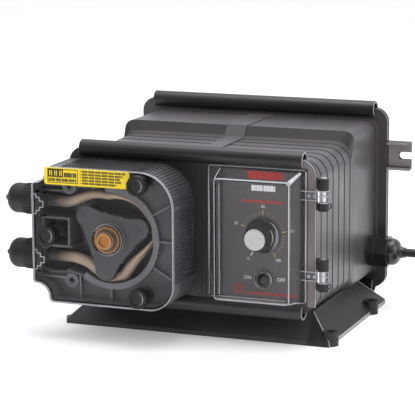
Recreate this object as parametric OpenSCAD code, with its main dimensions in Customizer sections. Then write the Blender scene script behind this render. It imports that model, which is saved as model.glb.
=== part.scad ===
// Peristaltic metering pump: a roller pump head and a speed control on a clamped plastic case.
// Origin: on the floor, at the centre of the foot's four mounting holes. X right, Y back, Z up.

/* [Case] */
// Width of the front flange and panel
front_w = 224; // [218:1:230]
// Height of the front flange and panel
front_h = 131.5; // [130:0.5:132]
// Width of the rear flange and cover
rear_w = 239.6; // [236:0.2:242]
// Height of the rear flange and cover
rear_h = 166.2; // [165:0.2:167]
// Depth from the panel's face to the back of the rear cover
case_d = 189; // [186:1:192]
// Wall of the case
wall = 3; // [2.5:0.1:3.5]
// Number of lapped bands along the front part of the case
bands = 6; // [4:1:6]
// Outer diameter of the clamp rails
rail_d = 15; // [14.8:0.1:15.4]

/* [Foot] */
// Width of the foot at the floor
foot_w = 244; // [240:1:248]
// Depth of the foot at the floor
foot_d = 165; // [160:1:168]
// Distance between the mounting holes across the foot
hole_dx = 240; // [236:1:242]
// Distance between the mounting holes along the foot
hole_dy = 116; // [110:1:122]
// Diameter of the mounting holes
hole_d = 5.5; // [4.5:0.1:6.5]

/* [Pump head] */
// Width of the pump head
head_w = 129.3; // [128:0.1:131]
// Height of the pump head
head_h = 117.5; // [116:0.1:118]
// Depth of the head body, from the panel to the clear cover
head_d = 44.5; // [44:0.5:45]
// Thickness of the clear cover
cover_d = 3.5; // [3:0.5:4]
// Inner radius of the track that the tube is squeezed against
track_r = 39; // [38.8:0.1:39.4]
// Outer diameter of the pump tube
tube_d = 9.5; // [9:0.1:9.6]
// Wall of the pump tube
tube_wall = 1.4; // [1.2:0.1:1.6]
// Radius from the rotor's axis to the roller pins
pin_r = 28.2; // [28:0.1:28.4]
// Diameter of the rollers
roller_d = 15.8; // [15.4:0.1:16]
// Diameter of the drive shaft
shaft_d = 8; // [6:0.5:8]

/* [Control] */
// Diameter of the speed knob's skirt
knob_d = 30; // [28:0.5:31]
// Depth of the clear control cover
box_d = 27; // [26:0.5:28]

/* [Cord] */
// Diameter of the power cord
cord_d = 7.6; // [7:0.1:8]
// Diameter of the stored coil at the middle of its turns
coil_d = 84; // [80:1:88]

/* [Hidden] */
$fn = 48;
eps = 0.01;

// Places along the depth, from the panel's face
panel_y = -76;
panel_t = 3.2;
gasket_t = 0.8;
lip_t = 3;
lip_y = panel_t + gasket_t;
rear_cover_t = 3.2;
rear_lip_y = case_d - rear_cover_t - gasket_t - lip_t;
front_z = 29.4;
rear_z = 12.4;
front_r = 14;
rear_r = 13;

// Case body
body_hw = 107;
body_z = 25;
roof_z = 155.5;
high_roof_z = 167.2;
body_r = 16;
high_r = 9;
band_pitch = 15;
first_groove = 30;
groove_w = 1.2;
groove_deep = 1.3;
band_step = 0.35;
riser_y0 = 108;
riser_y1 = 116;
collar_y = 177;
neck_y = 11.7;
neck_z0 = 39;
neck_z1 = 151.6;

// Clamp rails
rail_wall = 1.8;
slit_w = 7.7;
bead_h = 3.5;
bead_drop = 1.4;
front_rail_len = 202;
rear_rail_len = 215;

// Pump head
head_x1 = 3.6;
head_x0 = head_x1 - head_w;
head_z0 = 33.3;
head_z1 = head_z0 + head_h;
head_wall = 2.5;
rail_clear_y = -4.4;
rail_clear_z = 38.8;
rotor_x = -57.5;
rotor_z = 90.5;
floor_y0 = -14;
floor_y1 = -11;
ribs_y = -36;
tube_y = -27;
inlet_z = 69.8;
outlet_z = 118;
first_roller = 20.5;
thumb_places = [[-26, 140.5], [-26, 44.5], [-109, 92.5]];
boss_places = [[-95.5, 132.2], [-94.5, 51]];
head_screw_places = [[-97, 110], [-97, 64], [-12, 128], [-12, 56]];
bore_fit = 0.05;

// Control side
knob_at = [66.2, 95];
switch_at = [66.8, 57.4];
box_x0 = 27.6;
box_x1 = 100.8;
box_z0 = 38.8;
box_z1 = 151.2;
box_wall = 2;
flange_x0 = 17.5;
flange_x1 = 104.9;
flange_z1 = 152.8;
flange_y0 = -2.6;
flange_y1 = -0.4;
hinge_at = [119.6, -1.5];
hinge_r = 4.5;
knuckle_h = 10.4;
hinge_zs = [131.5, 63.2];
hinge_pin_r = 1.5;

// Cable gland and cord
gland_y = 162.5;
gland_z = 51.5;
wall_x = 110.9;
cord_route = [[144, 86.5, 51.5], [152, 86.5, 51.5], [159, 86.6, 50.8], [165.5, 86.8, 48.6],
    [171.5, 87.1, 45.2], [176.5, 87.4, 40.6], [180.5, 87.7, 35], [183.5, 88, 28.3], [186.5, 88.3, 21.6],
    [190.5, 88.6, 16], [195.5, 88.9, 11.4], [201.5, 89.3, 8], [208, 89.6, 5.8], [215, 89.8, 5],
    [226, 89.8, 5]];
plug_route = [[236.5, 84.5, 28], [246, 80.5, 29], [254, 75, 30.5], [260.5, 67.5, 32], [265, 59, 33.4],
    [267.5, 50.5, 34], [268, 44, 34]];
coil_at = [226, 44];
coil_z = 1.2;
coil_rows = 3;

// ---- shared shapes ----

// Puts children from the panel's frame (Y 0 at the panel's face) into the part's frame
module from_panel() { translate([0, panel_y, 0]) children(); }

// Outline in X and Z, drawn from y0 back to y1
module slab(y0, y1) { translate([0, y1, 0]) rotate([90, 0, 0]) linear_extrude(y1 - y0) children(); }

// Round bar along Y
module rod_y(at, y0, y1, d) {
    translate([at[0], y1, at[1]]) rotate([90, 0, 0]) cylinder(h = y1 - y0, d = d);
}

// Round bar along X
module rod_x(y, z, x0, x1, d) { translate([x0, y, z]) rotate([0, 90, 0]) cylinder(h = x1 - x0, d = d); }

// Box given by its two corners
module block(a, b) { translate(a) cube(b - a); }

// Rectangle from corner a to corner b with round corners
module round_rect(a, b, r) {
    translate(a + [r, 0]) square(b - a - [2 * r, 0]);
    translate(a + [0, r]) square(b - a - [0, 2 * r]);
    for (x = [a[0] + r, b[0] - r], z = [a[1] + r, b[1] - r]) translate([x, z]) circle(r = r);
}

// Points along an arc
function arc(c, r, a0, a1, n = 8) = [for (i = [0:n])
    let (a = a0 + (a1 - a0) * i / n) [c[0] + r * cos(a), c[1] + r * sin(a)]];

function front_a() = [-front_w / 2, front_z];
function front_b() = [front_w / 2, front_z + front_h];
function rear_a() = [-rear_w / 2, rear_z];
function rear_b() = [rear_w / 2, rear_z + rear_h];
function rail_zs(a, b) = [a[1] + bead_drop, b[1] - bead_drop];

// ---- foot ----

function foot_y0() = 9 + panel_y;
function foot_y1() = foot_y0() + foot_d;
foot_lip = 4;

// Solid of the foot: an upright lip, then four faces that lean in at 45 degrees
module foot_form(inset, top) {
    w = foot_w / 2 - inset;
    intersection() {
        translate([0, foot_y1(), 0]) rotate([90, 0, 0]) linear_extrude(foot_d)
            polygon([[-w, 0], [w, 0], [w, foot_lip], [w - top + foot_lip, top],
                [top - foot_lip - w, top], [-w, foot_lip]]);
        rotate([90, 0, 90]) translate([0, 0, -w]) linear_extrude(2 * w)
            polygon([[foot_y0() + inset, 0], [foot_y1() - inset, 0], [foot_y1() - inset, foot_lip],
                [foot_y1() - inset - top + foot_lip, top], [foot_y0() + inset + top - foot_lip, top],
                [foot_y0() + inset, foot_lip]]);
    }
}

foot_screw_at = [for (x = [-80, 80], y = [-25, 55]) [x, y]];

module foot() color("#151515") difference() {
    union() {
        difference() {
            foot_form(0, body_z);
            translate([0, 0, -eps]) foot_form(wall, body_z - wall);
        }
        for (x = [-1, 1], y = [-1, 1]) translate([x * hole_dx / 2, y * hole_dy / 2, 0])
            cylinder(h = x > 0 ? 12 : 4.5, r = x > 0 ? 7 : 5.5);
        for (p = foot_screw_at) translate([p[0], p[1], 8]) cylinder(h = body_z - 8, r = 5);
        for (x = [-40, 0, 40]) block([x - 1, foot_y0() + 24, 6], [x + 1, foot_y1() - 24, body_z - wall + eps]);
    }
    for (x = [-1, 1], y = [-1, 1]) translate([x * hole_dx / 2, y * hole_dy / 2, -1])
        cylinder(h = 20, d = hole_d);
    for (p = foot_screw_at) translate([p[0], p[1], 7]) cylinder(h = body_z, d = 4.2);
}

module foot_screws() color("silver") for (p = foot_screw_at) translate([p[0], p[1], 0]) {
    translate([0, 0, 4.8]) cylinder(h = 3.2, d = 8);
    translate([0, 0, 8]) cylinder(h = body_z - 8 + wall, d = 4);
}

// ---- case ----

module case_section(hw, top, inset = 0, r = body_r) {
    round_rect([-hw + inset, body_z + inset], [hw - inset, top - inset], r - inset);
}

// Raised band along the middle of the roof, from y0 at height z0 to y1 at height z1
module band_run(y0, z0, y1, z1) {
    function half(y) = 5.5 + 6.5 * (y - lip_y) / (rear_lip_y - lip_y);
    hull() for (p = [[y0, z0], [y1, z1]])
        block([-half(p[0]), p[0], p[1] - 4], [half(p[0]), p[0] + 0.2, p[1]]);
}

// Thick edge of a flange that a clamp rail slides over
module bead(a, b, y0, y1, half_len) {
    slab(y0, y1) for (z = [a[1], b[1] - bead_h]) translate([-half_len, z]) square([2 * half_len, bead_h]);
}

module case_body() color("#35323a") from_panel() difference() {
    union() {
        for (i = [0:bands]) {
            y0 = i == 0 ? neck_y : first_groove + (i - 1) * band_pitch + groove_w;
            y1 = i == bands ? riser_y0 : first_groove + i * band_pitch;
            slab(y0, y1) case_section(body_hw + i * band_step, roof_z + i * band_step * 0.85);
        }
        slab(neck_y, riser_y0) case_section(body_hw, roof_z, groove_deep);
        slab(lip_y, neck_y + eps) round_rect([-body_hw, neck_z0], [body_hw, neck_z1], body_r - 4);
        hull() {
            slab(riser_y0 - 0.2, riser_y0) case_section(body_hw + bands * band_step, roof_z + 1.8, $fn = 32);
            slab(riser_y1, riser_y1 + 0.2) case_section(wall_x - 1.4, high_roof_z, 0, high_r, $fn = 32);
        }
        slab(riser_y1, rear_lip_y + eps) case_section(wall_x - 1.4, high_roof_z, 0, high_r);
        slab(collar_y, rear_lip_y + eps) case_section(wall_x + 0.8, high_roof_z + 1.6, 0, high_r);
        band_run(neck_y, roof_z + 1.1, riser_y0 - 1, roof_z + 2.8);
        band_run(riser_y0 - 1, roof_z + 2.8, riser_y1 - 1, high_roof_z + 0.9);
        band_run(riser_y1 - 1, high_roof_z + 0.9, collar_y + 1, high_roof_z + 0.9);
        slab(lip_y, lip_y + lip_t) round_rect(front_a(), front_b(), front_r);
        bead(front_a(), front_b(), lip_y + lip_t - eps, lip_y + lip_t + 1.3, front_rail_len / 2 - 3);
        slab(rear_lip_y, rear_lip_y + lip_t) round_rect(rear_a(), rear_b(), rear_r);
        bead(rear_a(), rear_b(), rear_lip_y - 1.3, rear_lip_y + eps, rear_rail_len / 2 - 3);
        for (p = foot_screw_at) translate([p[0], p[1] - panel_y, body_z + 1]) cylinder(h = 10, r = 5);
    }
    slab(neck_y + wall, riser_y0) case_section(body_hw - groove_deep, roof_z - groove_deep, wall);
    slab(lip_y - 1, neck_y + wall + 1) round_rect([wall - body_hw, neck_z0 + wall],
        [body_hw - wall, neck_z1 - wall], body_r - 4 - wall);
    slab(riser_y0 - 1, rear_lip_y + lip_t + 1) case_section(body_hw - groove_deep, roof_z - groove_deep, wall);
    slab(riser_y1 - 1, rear_lip_y + lip_t + 1) case_section(body_hw, high_roof_z, wall);
    rod_x(gland_y, gland_z, 90, 130, 20.2);
    for (p = foot_screw_at) translate([p[0], p[1] - panel_y, body_z - 1]) cylinder(h = 9, d = 4.1);
}

module front_gasket() color("#0c0c0c") from_panel() slab(panel_t, lip_y) difference() {
    round_rect(front_a() + [2, 2], front_b() - [2, 2], front_r - 2);
    round_rect(front_a() + [9, 9], front_b() - [9, 9], front_r - 4);
}

module rear_gasket() color("#0c0c0c") from_panel()
    slab(rear_lip_y + lip_t, rear_lip_y + lip_t + gasket_t) difference() {
        round_rect(rear_a() + [2, 2], rear_b() - [2, 2], rear_r - 2);
        round_rect(rear_a() + [11, 14.5], rear_b() - [11, 14.5], rear_r - 4);
    }

module front_panel() color("#1c1b1d") from_panel() difference() {
    union() {
        slab(0, panel_t) round_rect(front_a(), front_b(), front_r);
        bead(front_a(), front_b(), -1.3, eps, front_rail_len / 2 - 3);
        slab(-1.2, eps) translate([8.6, 39]) square([2, 112]);
        slab(-1.2, eps) translate([12.4, 39]) square([2, 112]);
    }
    rod_y([rotor_x, rotor_z], -3, 5, 13);
    rod_y(knob_at, -3, 5, 9.2);
    rod_y(switch_at, -3, 5, 12.2);
    for (p = head_screw_places) rod_y(p, -3, 5, 4.2);
}

// Open slot of a mounting ear, from x0 out past the ear's end
module ear_slot(x0, z, y0, y1) {
    rod_y([x0 + 3.3, z], y0, y1, 6.6);
    slab(y0, y1) translate([x0 + 3.3, z - 3.3]) square([30, 6.6]);
}

ear_z = 136;
low_ear_z = 55;
ear_x1 = 141.4;
// Upper ear on the right, lower ear on the left
ears = [[0, ear_z], [1, low_ear_z]];

module rear_cover() color("#1c1b1d") from_panel() {
    y0 = case_d - rear_cover_t;
    difference() {
        union() {
            slab(y0, case_d) round_rect(rear_a(), rear_b(), rear_r);
            bead(rear_a(), rear_b(), case_d - eps, case_d + 1.3, rear_rail_len / 2 - 3);
            for (e = ears) mirror([e[0], 0, 0]) {
                slab(y0, case_d) translate([90, e[1] - 12.8]) square([ear_x1 - 90, 25.6]);
                slab(y0 - 6, case_d) for (z = [e[1] - 12.8, e[1] + 10.3])
                    translate([rear_w / 2 + 0.4, z]) square([ear_x1 - rear_w / 2 - 0.4, 2.5]);
            }
            slab(case_d, case_d + 2) for (x = [-60, 0, 60]) translate([x - 1.5, 35]) square([3, 120]);
        }
        for (e = ears) mirror([e[0], 0, 0]) ear_slot(130.2, e[1], y0 - 1, case_d + 1);
    }
}

// C-shaped clamp rail along X: a slit tube pressed over two beaded flange edges
module rail(y, z, len, side) translate([-len / 2, y, z]) rotate([90, 0, 90]) linear_extrude(len) {
    difference() {
        circle(d = rail_d);
        circle(d = rail_d - 2 * rail_wall);
        translate([-slit_w / 2, side > 0 ? -rail_d : 0]) square([slit_w, rail_d]);
    }
}

module front_rail(side) color("#121212") from_panel()
    rail((lip_y + lip_t) / 2, rail_zs(front_a(), front_b())[side > 0 ? 1 : 0], front_rail_len, side);
module rear_rail(side) color("#121212") from_panel()
    rail((rear_lip_y + case_d) / 2, rail_zs(rear_a(), rear_b())[side > 0 ? 1 : 0], rear_rail_len, side);
module front_top_rail() front_rail(1);
module front_bottom_rail() front_rail(-1);
module rear_top_rail() rear_rail(1);
module rear_bottom_rail() rear_rail(-1);

// ---- pump head ----

// Outline of the head in X and Z, inset by d: two large right corners, notched left corners
function head_outline(d) = let (n = 10) concat(
    arc([head_x1 - 22, head_z0 + 22], 22 - d, -90, 0, n),
    arc([head_x1 - 30, head_z1 - 30], 30 - d, 0, 90, n),
    arc([head_x0 + 17, head_z1 - 4], 4 - d, 90, 180, 4),
    arc([head_x0 + 3, head_z1 - 4], 10 + d, 0, -90, n),
    arc([head_x0 + 3, head_z1 - 17], 3 - d, 90, 180, 4),
    arc([head_x0 + 3, head_z0 + 19], 3 - d, 180, 270, 4),
    arc([head_x0 + 3, head_z0 + 4], 12 + d, 90, 0, n),
    arc([head_x0 + 19, head_z0 + 4], 4 - d, 180, 270, 4));

// Wall between two points, in the plane of the head
module rib2(a, b, w = 1.6) {
    l = norm(b - a);
    translate(a) rotate(atan2(b[1] - a[1], b[0] - a[0])) translate([0, -w / 2]) square([l, w]);
}

function on_rotor(r, a) = [rotor_x + r * cos(a), rotor_z + r * sin(a)];

track_from = -126.5;
track_to = 97;

// Track wall: a ring that is open on the left, where the tube comes in and goes out
module track2() difference() {
    translate([rotor_x, rotor_z]) circle(r = track_r + 5.4, $fn = 96);
    translate([rotor_x, rotor_z]) circle(r = track_r, $fn = 96);
    polygon([[rotor_x, rotor_z], on_rotor(60, track_to), on_rotor(80, 140), on_rotor(80, 180),
        on_rotor(60, track_from)]);
}

module head_ribs2() {
    for (a = [-30, 0, 30]) rib2(on_rotor(track_r + 4, a), on_rotor(64, a));
    rib2(on_rotor(track_r + 4, -90), on_rotor(57, -90));
    rib2([-86.5, 56.6], [-86.5, head_z0 + 1]);
    rib2([head_x0 + 1, 53.5], [-99, 53.5]);
    rib2([head_x0 + 1, 128.6], [-101, 128.6]);
    rib2([-97, 80.3], on_rotor(37.4, -164));
    rib2(on_rotor(track_r + 3.6, track_from), [-99, 59.6]);
    difference() {
        translate([-121.5, 79.5]) square([25.8, 26]);
        translate([-119.9, 81.1]) square([22.6, 22.8]);
    }
}

// Web behind the ribs, left out where the tube runs
module head_web2() difference() {
    polygon(head_outline(1));
    translate([rotor_x, rotor_z]) circle(r = track_r + 4.5, $fn = 96);
    translate([-140, 58]) square([140 + rotor_x, 73.3]);
}

module head_body() color("#3a393e") from_panel() difference() {
    union() {
        slab(-head_d, rail_clear_y) difference() { polygon(head_outline(0)); polygon(head_outline(head_wall)); }
        slab(rail_clear_y - eps, 0) intersection() {
            difference() { polygon(head_outline(0)); polygon(head_outline(head_wall)); }
            translate([-200, rail_clear_z]) square(300);
        }
        slab(rail_clear_y - 2, 0) intersection() {
            polygon(head_outline(head_wall - eps));
            translate([-200, rail_clear_z]) square([300, head_wall]);
        }
        slab(floor_y0, floor_y1) polygon(head_outline(1));
        slab(ribs_y + 4, ribs_y + 6.5) head_web2();
        slab(ribs_y, floor_y0 + eps) intersection() {
            union() {
                track2();
                head_ribs2();
                for (p = boss_places) translate(p) circle(r = 6.2);
                for (p = thumb_places) translate(p) circle(r = 5.5);
            }
            polygon(head_outline(1));
        }
        for (p = head_screw_places) rod_y(p, floor_y1 - eps, 0, 9);
    }
    rod_y([rotor_x, rotor_z], -20, 1, 13);
    for (p = thumb_places) rod_y(p, ribs_y - 1, floor_y0 - 3, 5);
    for (p = boss_places) rod_y(p, ribs_y - 1, floor_y0 - 3, 4);
    for (z = [inlet_z, outlet_z]) rod_x(tube_y, z, head_x0 - 5, head_x0 + 5, 18.1);
    for (p = head_screw_places) {
        rod_y(p, floor_y0 - 1, 1, 4);
        rod_y(p, floor_y0 - 2, floor_y0 + 1.4, 8);
    }
}

module head_screws() color("silver") from_panel() for (p = head_screw_places) {
    rod_y(p, floor_y0 - 1.6, floor_y0 + 1.4, 7.6);
    rod_y(p, floor_y0 + 1.4, 8, 3.9);
    rod_y(p, panel_t, panel_t + 2.6, 7);
}

cover_y0 = -head_d - cover_d;
nose_d = 14;
bush_d = 23;
bush_y0 = cover_y0 + 4;
bush_y1 = cover_y0 + 9.6;

module head_cover() color([0.85, 0.87, 0.9, 0.3]) from_panel() difference() {
    union() {
        slab(cover_y0, -head_d) polygon(head_outline(0));
        rod_y([rotor_x, rotor_z], cover_y0 + 2, bush_y1, bush_d + 4);
        for (p = thumb_places) rod_y(p, cover_y0 + 2, ribs_y, 9.6);
        slab(cover_y0 + 2, ribs_y) intersection() {
            union() for (z = [inlet_z, outlet_z], dz = [-10.3, 10.3])
                translate([head_x0, z + dz - 0.9]) square([12, 1.8]);
            polygon(head_outline(head_wall + 0.1));
        }
    }
    rod_y([rotor_x, rotor_z], cover_y0 - 1, bush_y0 + 1, nose_d);
    rod_y([rotor_x, rotor_z], bush_y0, bush_y1 + 1, bush_d);
    for (p = thumb_places) rod_y(p, cover_y0 - 1, ribs_y + 1, 5.4);
}

// Stepped bronze bush that carries the front end of the drive shaft
module cover_bearing() color("#b5712d") from_panel() difference() {
    union() {
        rod_y([rotor_x, rotor_z], cover_y0 - 3, bush_y0 + eps, nose_d);
        rod_y([rotor_x, rotor_z], bush_y0, bush_y1, bush_d);
    }
    rod_y([rotor_x, rotor_z], cover_y0 + 0.6, bush_y1 + 1, shaft_d + 2 * bore_fit);
    rod_y([rotor_x, rotor_z], cover_y0 - 4, cover_y0 - 1.8, 9.6);
}

label_x0 = -113;
label_x1 = -34.6;
label_z0 = 136;
label_z1 = 150.6;

// Label with round left corners and a wavy right end
module cover_label() color("gold") from_panel() slab(cover_y0 - 0.3, cover_y0) difference() {
    round_rect([label_x0, label_z0], [label_x1, label_z1], 2);
    translate([label_x1 + 2.4, label_z0 + 5.4]) circle(r = 3.6);
}

module cover_thumb_screws() color("#101010") from_panel() for (p = thumb_places) difference() {
    union() {
        rod_y(p, cover_y0 - 8, cover_y0, 17);
        rod_y(p, cover_y0 - eps, ribs_y + 14, 4.9);
    }
    for (a = [0:30:330]) rod_y(p + [8.9 * cos(a), 8.9 * sin(a)], cover_y0 - 9, cover_y0 - 0.8, 1.8);
    rod_y(p, cover_y0 - 9, cover_y0 - 7.1, 11.6);
}

// ---- tube ----

arc_from = 98;
arc_to = -122;
arc_steps = 44;
tube_in = [[-118, outlet_z], [-112, outlet_z], [-107, outlet_z], [-101, outlet_z - 0.2],
    [-94.5, outlet_z + 1.4], [-87.5, outlet_z + 4.1], [-80.5, outlet_z + 6.8], [-74, outlet_z + 8.1],
    [-68, outlet_z + 8.2]];
tube_in_half = [4.75, 4.75, 4.75, 4.6, 4.4, 4.2, 3.9, 3.7, 3.55];
tube_out = [[-80.6, 64.9], [-86.5, 67.6], [-92.5, 69.2], [-99, inlet_z], [-107, inlet_z], [-112, inlet_z],
    [-118, inlet_z]];

// Angle from an arc angle to the nearest roller
function off_roller(a) = let (b = (a - first_roller + 720 + 60) % 120 - 60) abs(b);
// Outer reach of a roller, from the rotor's axis, at an angle from its pin
function reach(b) = let (s = pow(roller_d / 2, 2) - pow(pin_r * sin(b), 2))
    s > 0 ? pin_r * cos(b) + sqrt(s) : 0;
// Radius of the tube's outer side: on the track, or on the straight stretch between two rollers
stretch_half = 38;
function tube_far(a) = (track_r - 0.1)
    * (abs(a + stretch_half) < stretch_half ? cos(stretch_half) / cos(a + stretch_half) : 1);
// Thickness of the tube away from the rollers
function tube_thick(a) = a > 45 ? 2.9 + 4.2 * (a - 45) / 53 : a > 0 ? 2.9
    : a > -30 ? 2.9 - 3.1 * a / 30 : a > -60 ? 6 - 2.7 * (a + 30) / 30 : tube_d - 0.8;
function tube_near(a) = max(tube_far(a) - tube_thick(a), reach(off_roller(a)) + 0.45);

arc_angles = [for (i = [0:arc_steps]) arc_from + (arc_to - arc_from) * i / arc_steps];
tube_arc = [for (a = arc_angles) on_rotor((tube_far(a) + tube_near(a)) / 2, a)];
tube_path = concat(tube_in, tube_arc, tube_out);
tube_half = concat(tube_in_half, [for (a = arc_angles) (tube_far(a) - tube_near(a)) / 2],
    [for (p = tube_out) tube_d / 2]);

// Direction of the tube at each ring: along the arc where it follows the track
function between(i) = let (v = tube_path[min(i + 1, len(tube_path) - 1)] - tube_path[max(i - 1, 0)])
    v / norm(v);
tube_dirs = [for (i = [0:len(tube_path) - 1]) let (k = i - len(tube_in))
    k >= 0 && k <= arc_steps && tube_far(arc_angles[k]) > track_r - 0.2
        ? [sin(arc_angles[k]), -cos(arc_angles[k])] : between(i)];

sides = 12;

// Ring of the tube's section: half thickness t in the plane, half width w along Y
function section(i, inner) = let (
    dir = tube_dirs[i],
    t0 = tube_half[i],
    w0 = tube_d / 2 + (tube_d / 2 - t0) * 0.5,
    t = inner ? max(t0 - tube_wall, 0.12) : t0,
    w = inner ? w0 - tube_wall : w0)
    [for (k = [0:sides - 1]) let (q = 360 * k / sides)
        [tube_path[i][0] - dir[1] * t * cos(q), tube_y + w * sin(q), tube_path[i][1] + dir[0] * t * cos(q)]];

// Skin between rings: outer rings first, then inner rings, then the two end faces
module pipe(outer, inner) {
    n = len(outer);
    m = len(outer[0]);
    function id(layer, i, k) = (layer * n + i) * m + k % m;
    quads = [for (i = [0:n - 2], k = [0:m - 1]) each [
        [id(0, i, k), id(0, i, k + 1), id(0, i + 1, k + 1), id(0, i + 1, k)],
        [id(1, i, k), id(1, i + 1, k), id(1, i + 1, k + 1), id(1, i, k + 1)]]];
    ends = [for (k = [0:m - 1]) each [
        [id(0, 0, k), id(1, 0, k), id(1, 0, k + 1), id(0, 0, k + 1)],
        [id(0, n - 1, k), id(0, n - 1, k + 1), id(1, n - 1, k + 1), id(1, n - 1, k)]]];
    polyhedron(points = [for (ring = concat(outer, inner)) each ring], faces = concat(quads, ends));
}

module pump_tube() color("#b89c82") from_panel()
    pipe([for (i = [0:len(tube_path) - 1]) section(i, false)],
        [for (i = [0:len(tube_path) - 1]) section(i, true)]);

// Port fitting along X: thread outside, flange against the wall, barb in the tube
module fitting(z) color("#2a2a2c") from_panel() difference() {
    union() {
        rod_x(tube_y, z, head_x0 - 20, head_x0 + head_wall, 17.8);
        rod_x(tube_y, z, head_x0 + head_wall, -118.4, 14.5);
        rod_x(tube_y, z, -118.4, -110, 6.4);
    }
    rod_x(tube_y, z, head_x0 - 21, -107, 4.4);
}
module inlet_fitting() fitting(inlet_z);
module outlet_fitting() fitting(outlet_z);

// Closed cap over the fitting's thread, with a domed end and a small nipple
module port_cap(z) color("#121212") from_panel() translate([head_x0 - 0.4, tube_y, z]) rotate([0, -90, 0])
    rotate_extrude() polygon(concat(
        [[9, 0], [13, 0]],
        arc([6, 22], 7, 0, 75, 6),
        [[3, 29.6], [2.6, 32.6], [1.4, 33.6], [0, 33.8], [0, 22], [9, 22]]));
module inlet_cap() port_cap(inlet_z);
module outlet_cap() port_cap(outlet_z);

// ---- rotor ----

front_plate = [-38.2, -34.6];
rear_plate = [-19.4, -16];

// Three-lobed plate, with hollow flanks between the lobes
module rotor_plate(y0, y1) difference() {
    slab(y0, y1) translate([rotor_x, rotor_z]) difference() {
        union() {
            circle(r = 23, $fn = 64);
            for (k = [0:2]) rotate(first_roller + 120 * k) {
                translate([pin_r, 0]) circle(r = 9);
                polygon([[0, -19], [pin_r + 1, -8.94], [pin_r + 1, 8.94], [0, 19]]);
            }
        }
        for (k = [0:2]) rotate(first_roller + 60 + 120 * k) translate([43, 0]) circle(r = 22.5, $fn = 64);
    }
    rod_y([rotor_x, rotor_z], y0 - 1, y1 + 1, shaft_d);
    for (k = [0:2]) rod_y(on_rotor(pin_r, first_roller + 120 * k), y0 - 1, y1 + 1, 4);
}

module rotor_front_plate() color("#434247") from_panel() rotor_plate(front_plate[0], front_plate[1]);
module rotor_rear_plate() color("#434247") from_panel() rotor_plate(rear_plate[0], rear_plate[1]);

module rotor_hub() color("#434247") from_panel() difference() {
    rod_y([rotor_x, rotor_z], front_plate[1], rear_plate[0], 22);
    rod_y([rotor_x, rotor_z], front_plate[1] - 1, rear_plate[0] + 1, shaft_d);
}

module drive_shaft() color("silver") from_panel() rod_y([rotor_x, rotor_z], cover_y0 + 1, 34, shaft_d);

module roller_pins() color("silver") from_panel() for (k = [0:2])
    rod_y(on_rotor(pin_r, first_roller + 120 * k), front_plate[0], rear_plate[1], 4);

module roller(k) color("#0e0e0e") from_panel() difference() {
    rod_y(on_rotor(pin_r, first_roller + 120 * k), front_plate[1] + 0.4, rear_plate[0] - 0.4, roller_d);
    rod_y(on_rotor(pin_r, first_roller + 120 * k), front_plate[1], rear_plate[0], 4 + 2 * bore_fit);
}
module roller_1() roller(0);
module roller_2() roller(1);
module roller_3() roller(2);

// ---- drive ----

gearbox_y = [panel_t, 44];
motor_len = 74;

module gearbox() color("#77787c") from_panel() difference() {
    slab(gearbox_y[0], gearbox_y[1]) round_rect([rotor_x - 37, rotor_z - 30], [rotor_x + 37, rotor_z + 44], 6);
    rod_y([rotor_x, rotor_z], gearbox_y[0] - 1, 36, shaft_d + 2 * bore_fit);
    for (p = head_screw_places) rod_y(p, gearbox_y[0] - 1, 9, 7.4);
    for (x = [-30, 30], z = [-23, 37]) rod_y([rotor_x + x, rotor_z + z], gearbox_y[1] - 8, gearbox_y[1] + 1, 4);
}

module motor() color("#5c5d61") from_panel() {
    c = [rotor_x, rotor_z + 7];
    difference() {
        slab(gearbox_y[1], gearbox_y[1] + 4) round_rect(c - [35, 35], c + [35, 35], 6);
        for (x = [-30, 30], z = [-30, 30]) rod_y(c + [x, z], gearbox_y[1] - 1, gearbox_y[1] + 5, 4.4);
    }
    rod_y(c, gearbox_y[1] + 4 - eps, gearbox_y[1] + motor_len, 62);
    rod_y(c, gearbox_y[1] + motor_len - eps, gearbox_y[1] + motor_len + 4, 24);
}

module motor_screws() color("silver") from_panel() for (x = [-30, 30], z = [-23, 37]) {
    p = [rotor_x + x, rotor_z + z];
    rod_y(p, gearbox_y[1] + 4, gearbox_y[1] + 7, 7);
    rod_y(p, gearbox_y[1] - 7, gearbox_y[1] + 4, 3.9);
}

// ---- control side ----

module faceplate() color("#5a575c") from_panel() difference() {
    slab(-0.8, 0) round_rect([29.9, 41], [98.5, 149], 2.5);
    rod_y(knob_at, -2, 1, 9.2);
    rod_y(switch_at, -2, 1, 12.2);
}

knob_front = -21.5;

module knob_skirt() color("#141414") from_panel() difference() {
    translate([knob_at[0], -1.4, knob_at[1]]) rotate([90, 0, 0]) rotate_extrude()
        polygon([[0, 0], [knob_d / 2, 0], [knob_d / 2, 1.6], [knob_d / 2 - 0.8, 2.8], [13.6, 3.6],
            [12.4, 6], [11.2, 14], [10, -knob_front - 1.4 - 0.9], [0, -knob_front - 1.4 - 0.9]]);
    rod_y(knob_at, -14, 0, 6);
}

module knob_cap() color("silver") from_panel() difference() {
    rod_y(knob_at, knob_front, knob_front + 0.9, 18);
    translate([knob_at[0], knob_front, knob_at[1]]) rotate([0, -24, 0])
        translate([-8.4, -0.5, -0.45]) cube([16.8, 0.8, 0.9]);
}

module pot_shaft() color("silver") from_panel() rod_y(knob_at, -14, 11, 6);

// Potentiometer: can behind the panel, nut and threaded neck through it; the shaft turns with the knob
module speed_pot() color("#8a8a8a") from_panel() difference() {
    union() {
        rod_y(knob_at, panel_t, 14, 24);
        rod_y(knob_at, -1, panel_t + eps, 9);
        slab(8, 10) translate(knob_at + [-7, -18]) square([14, 8]);
    }
    rod_y(knob_at, -3, 12, 6 + 2 * bore_fit);
}

lever_tilt = 11;
lever_pivot_y = 5;
lever_pin_h = 12;

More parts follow.
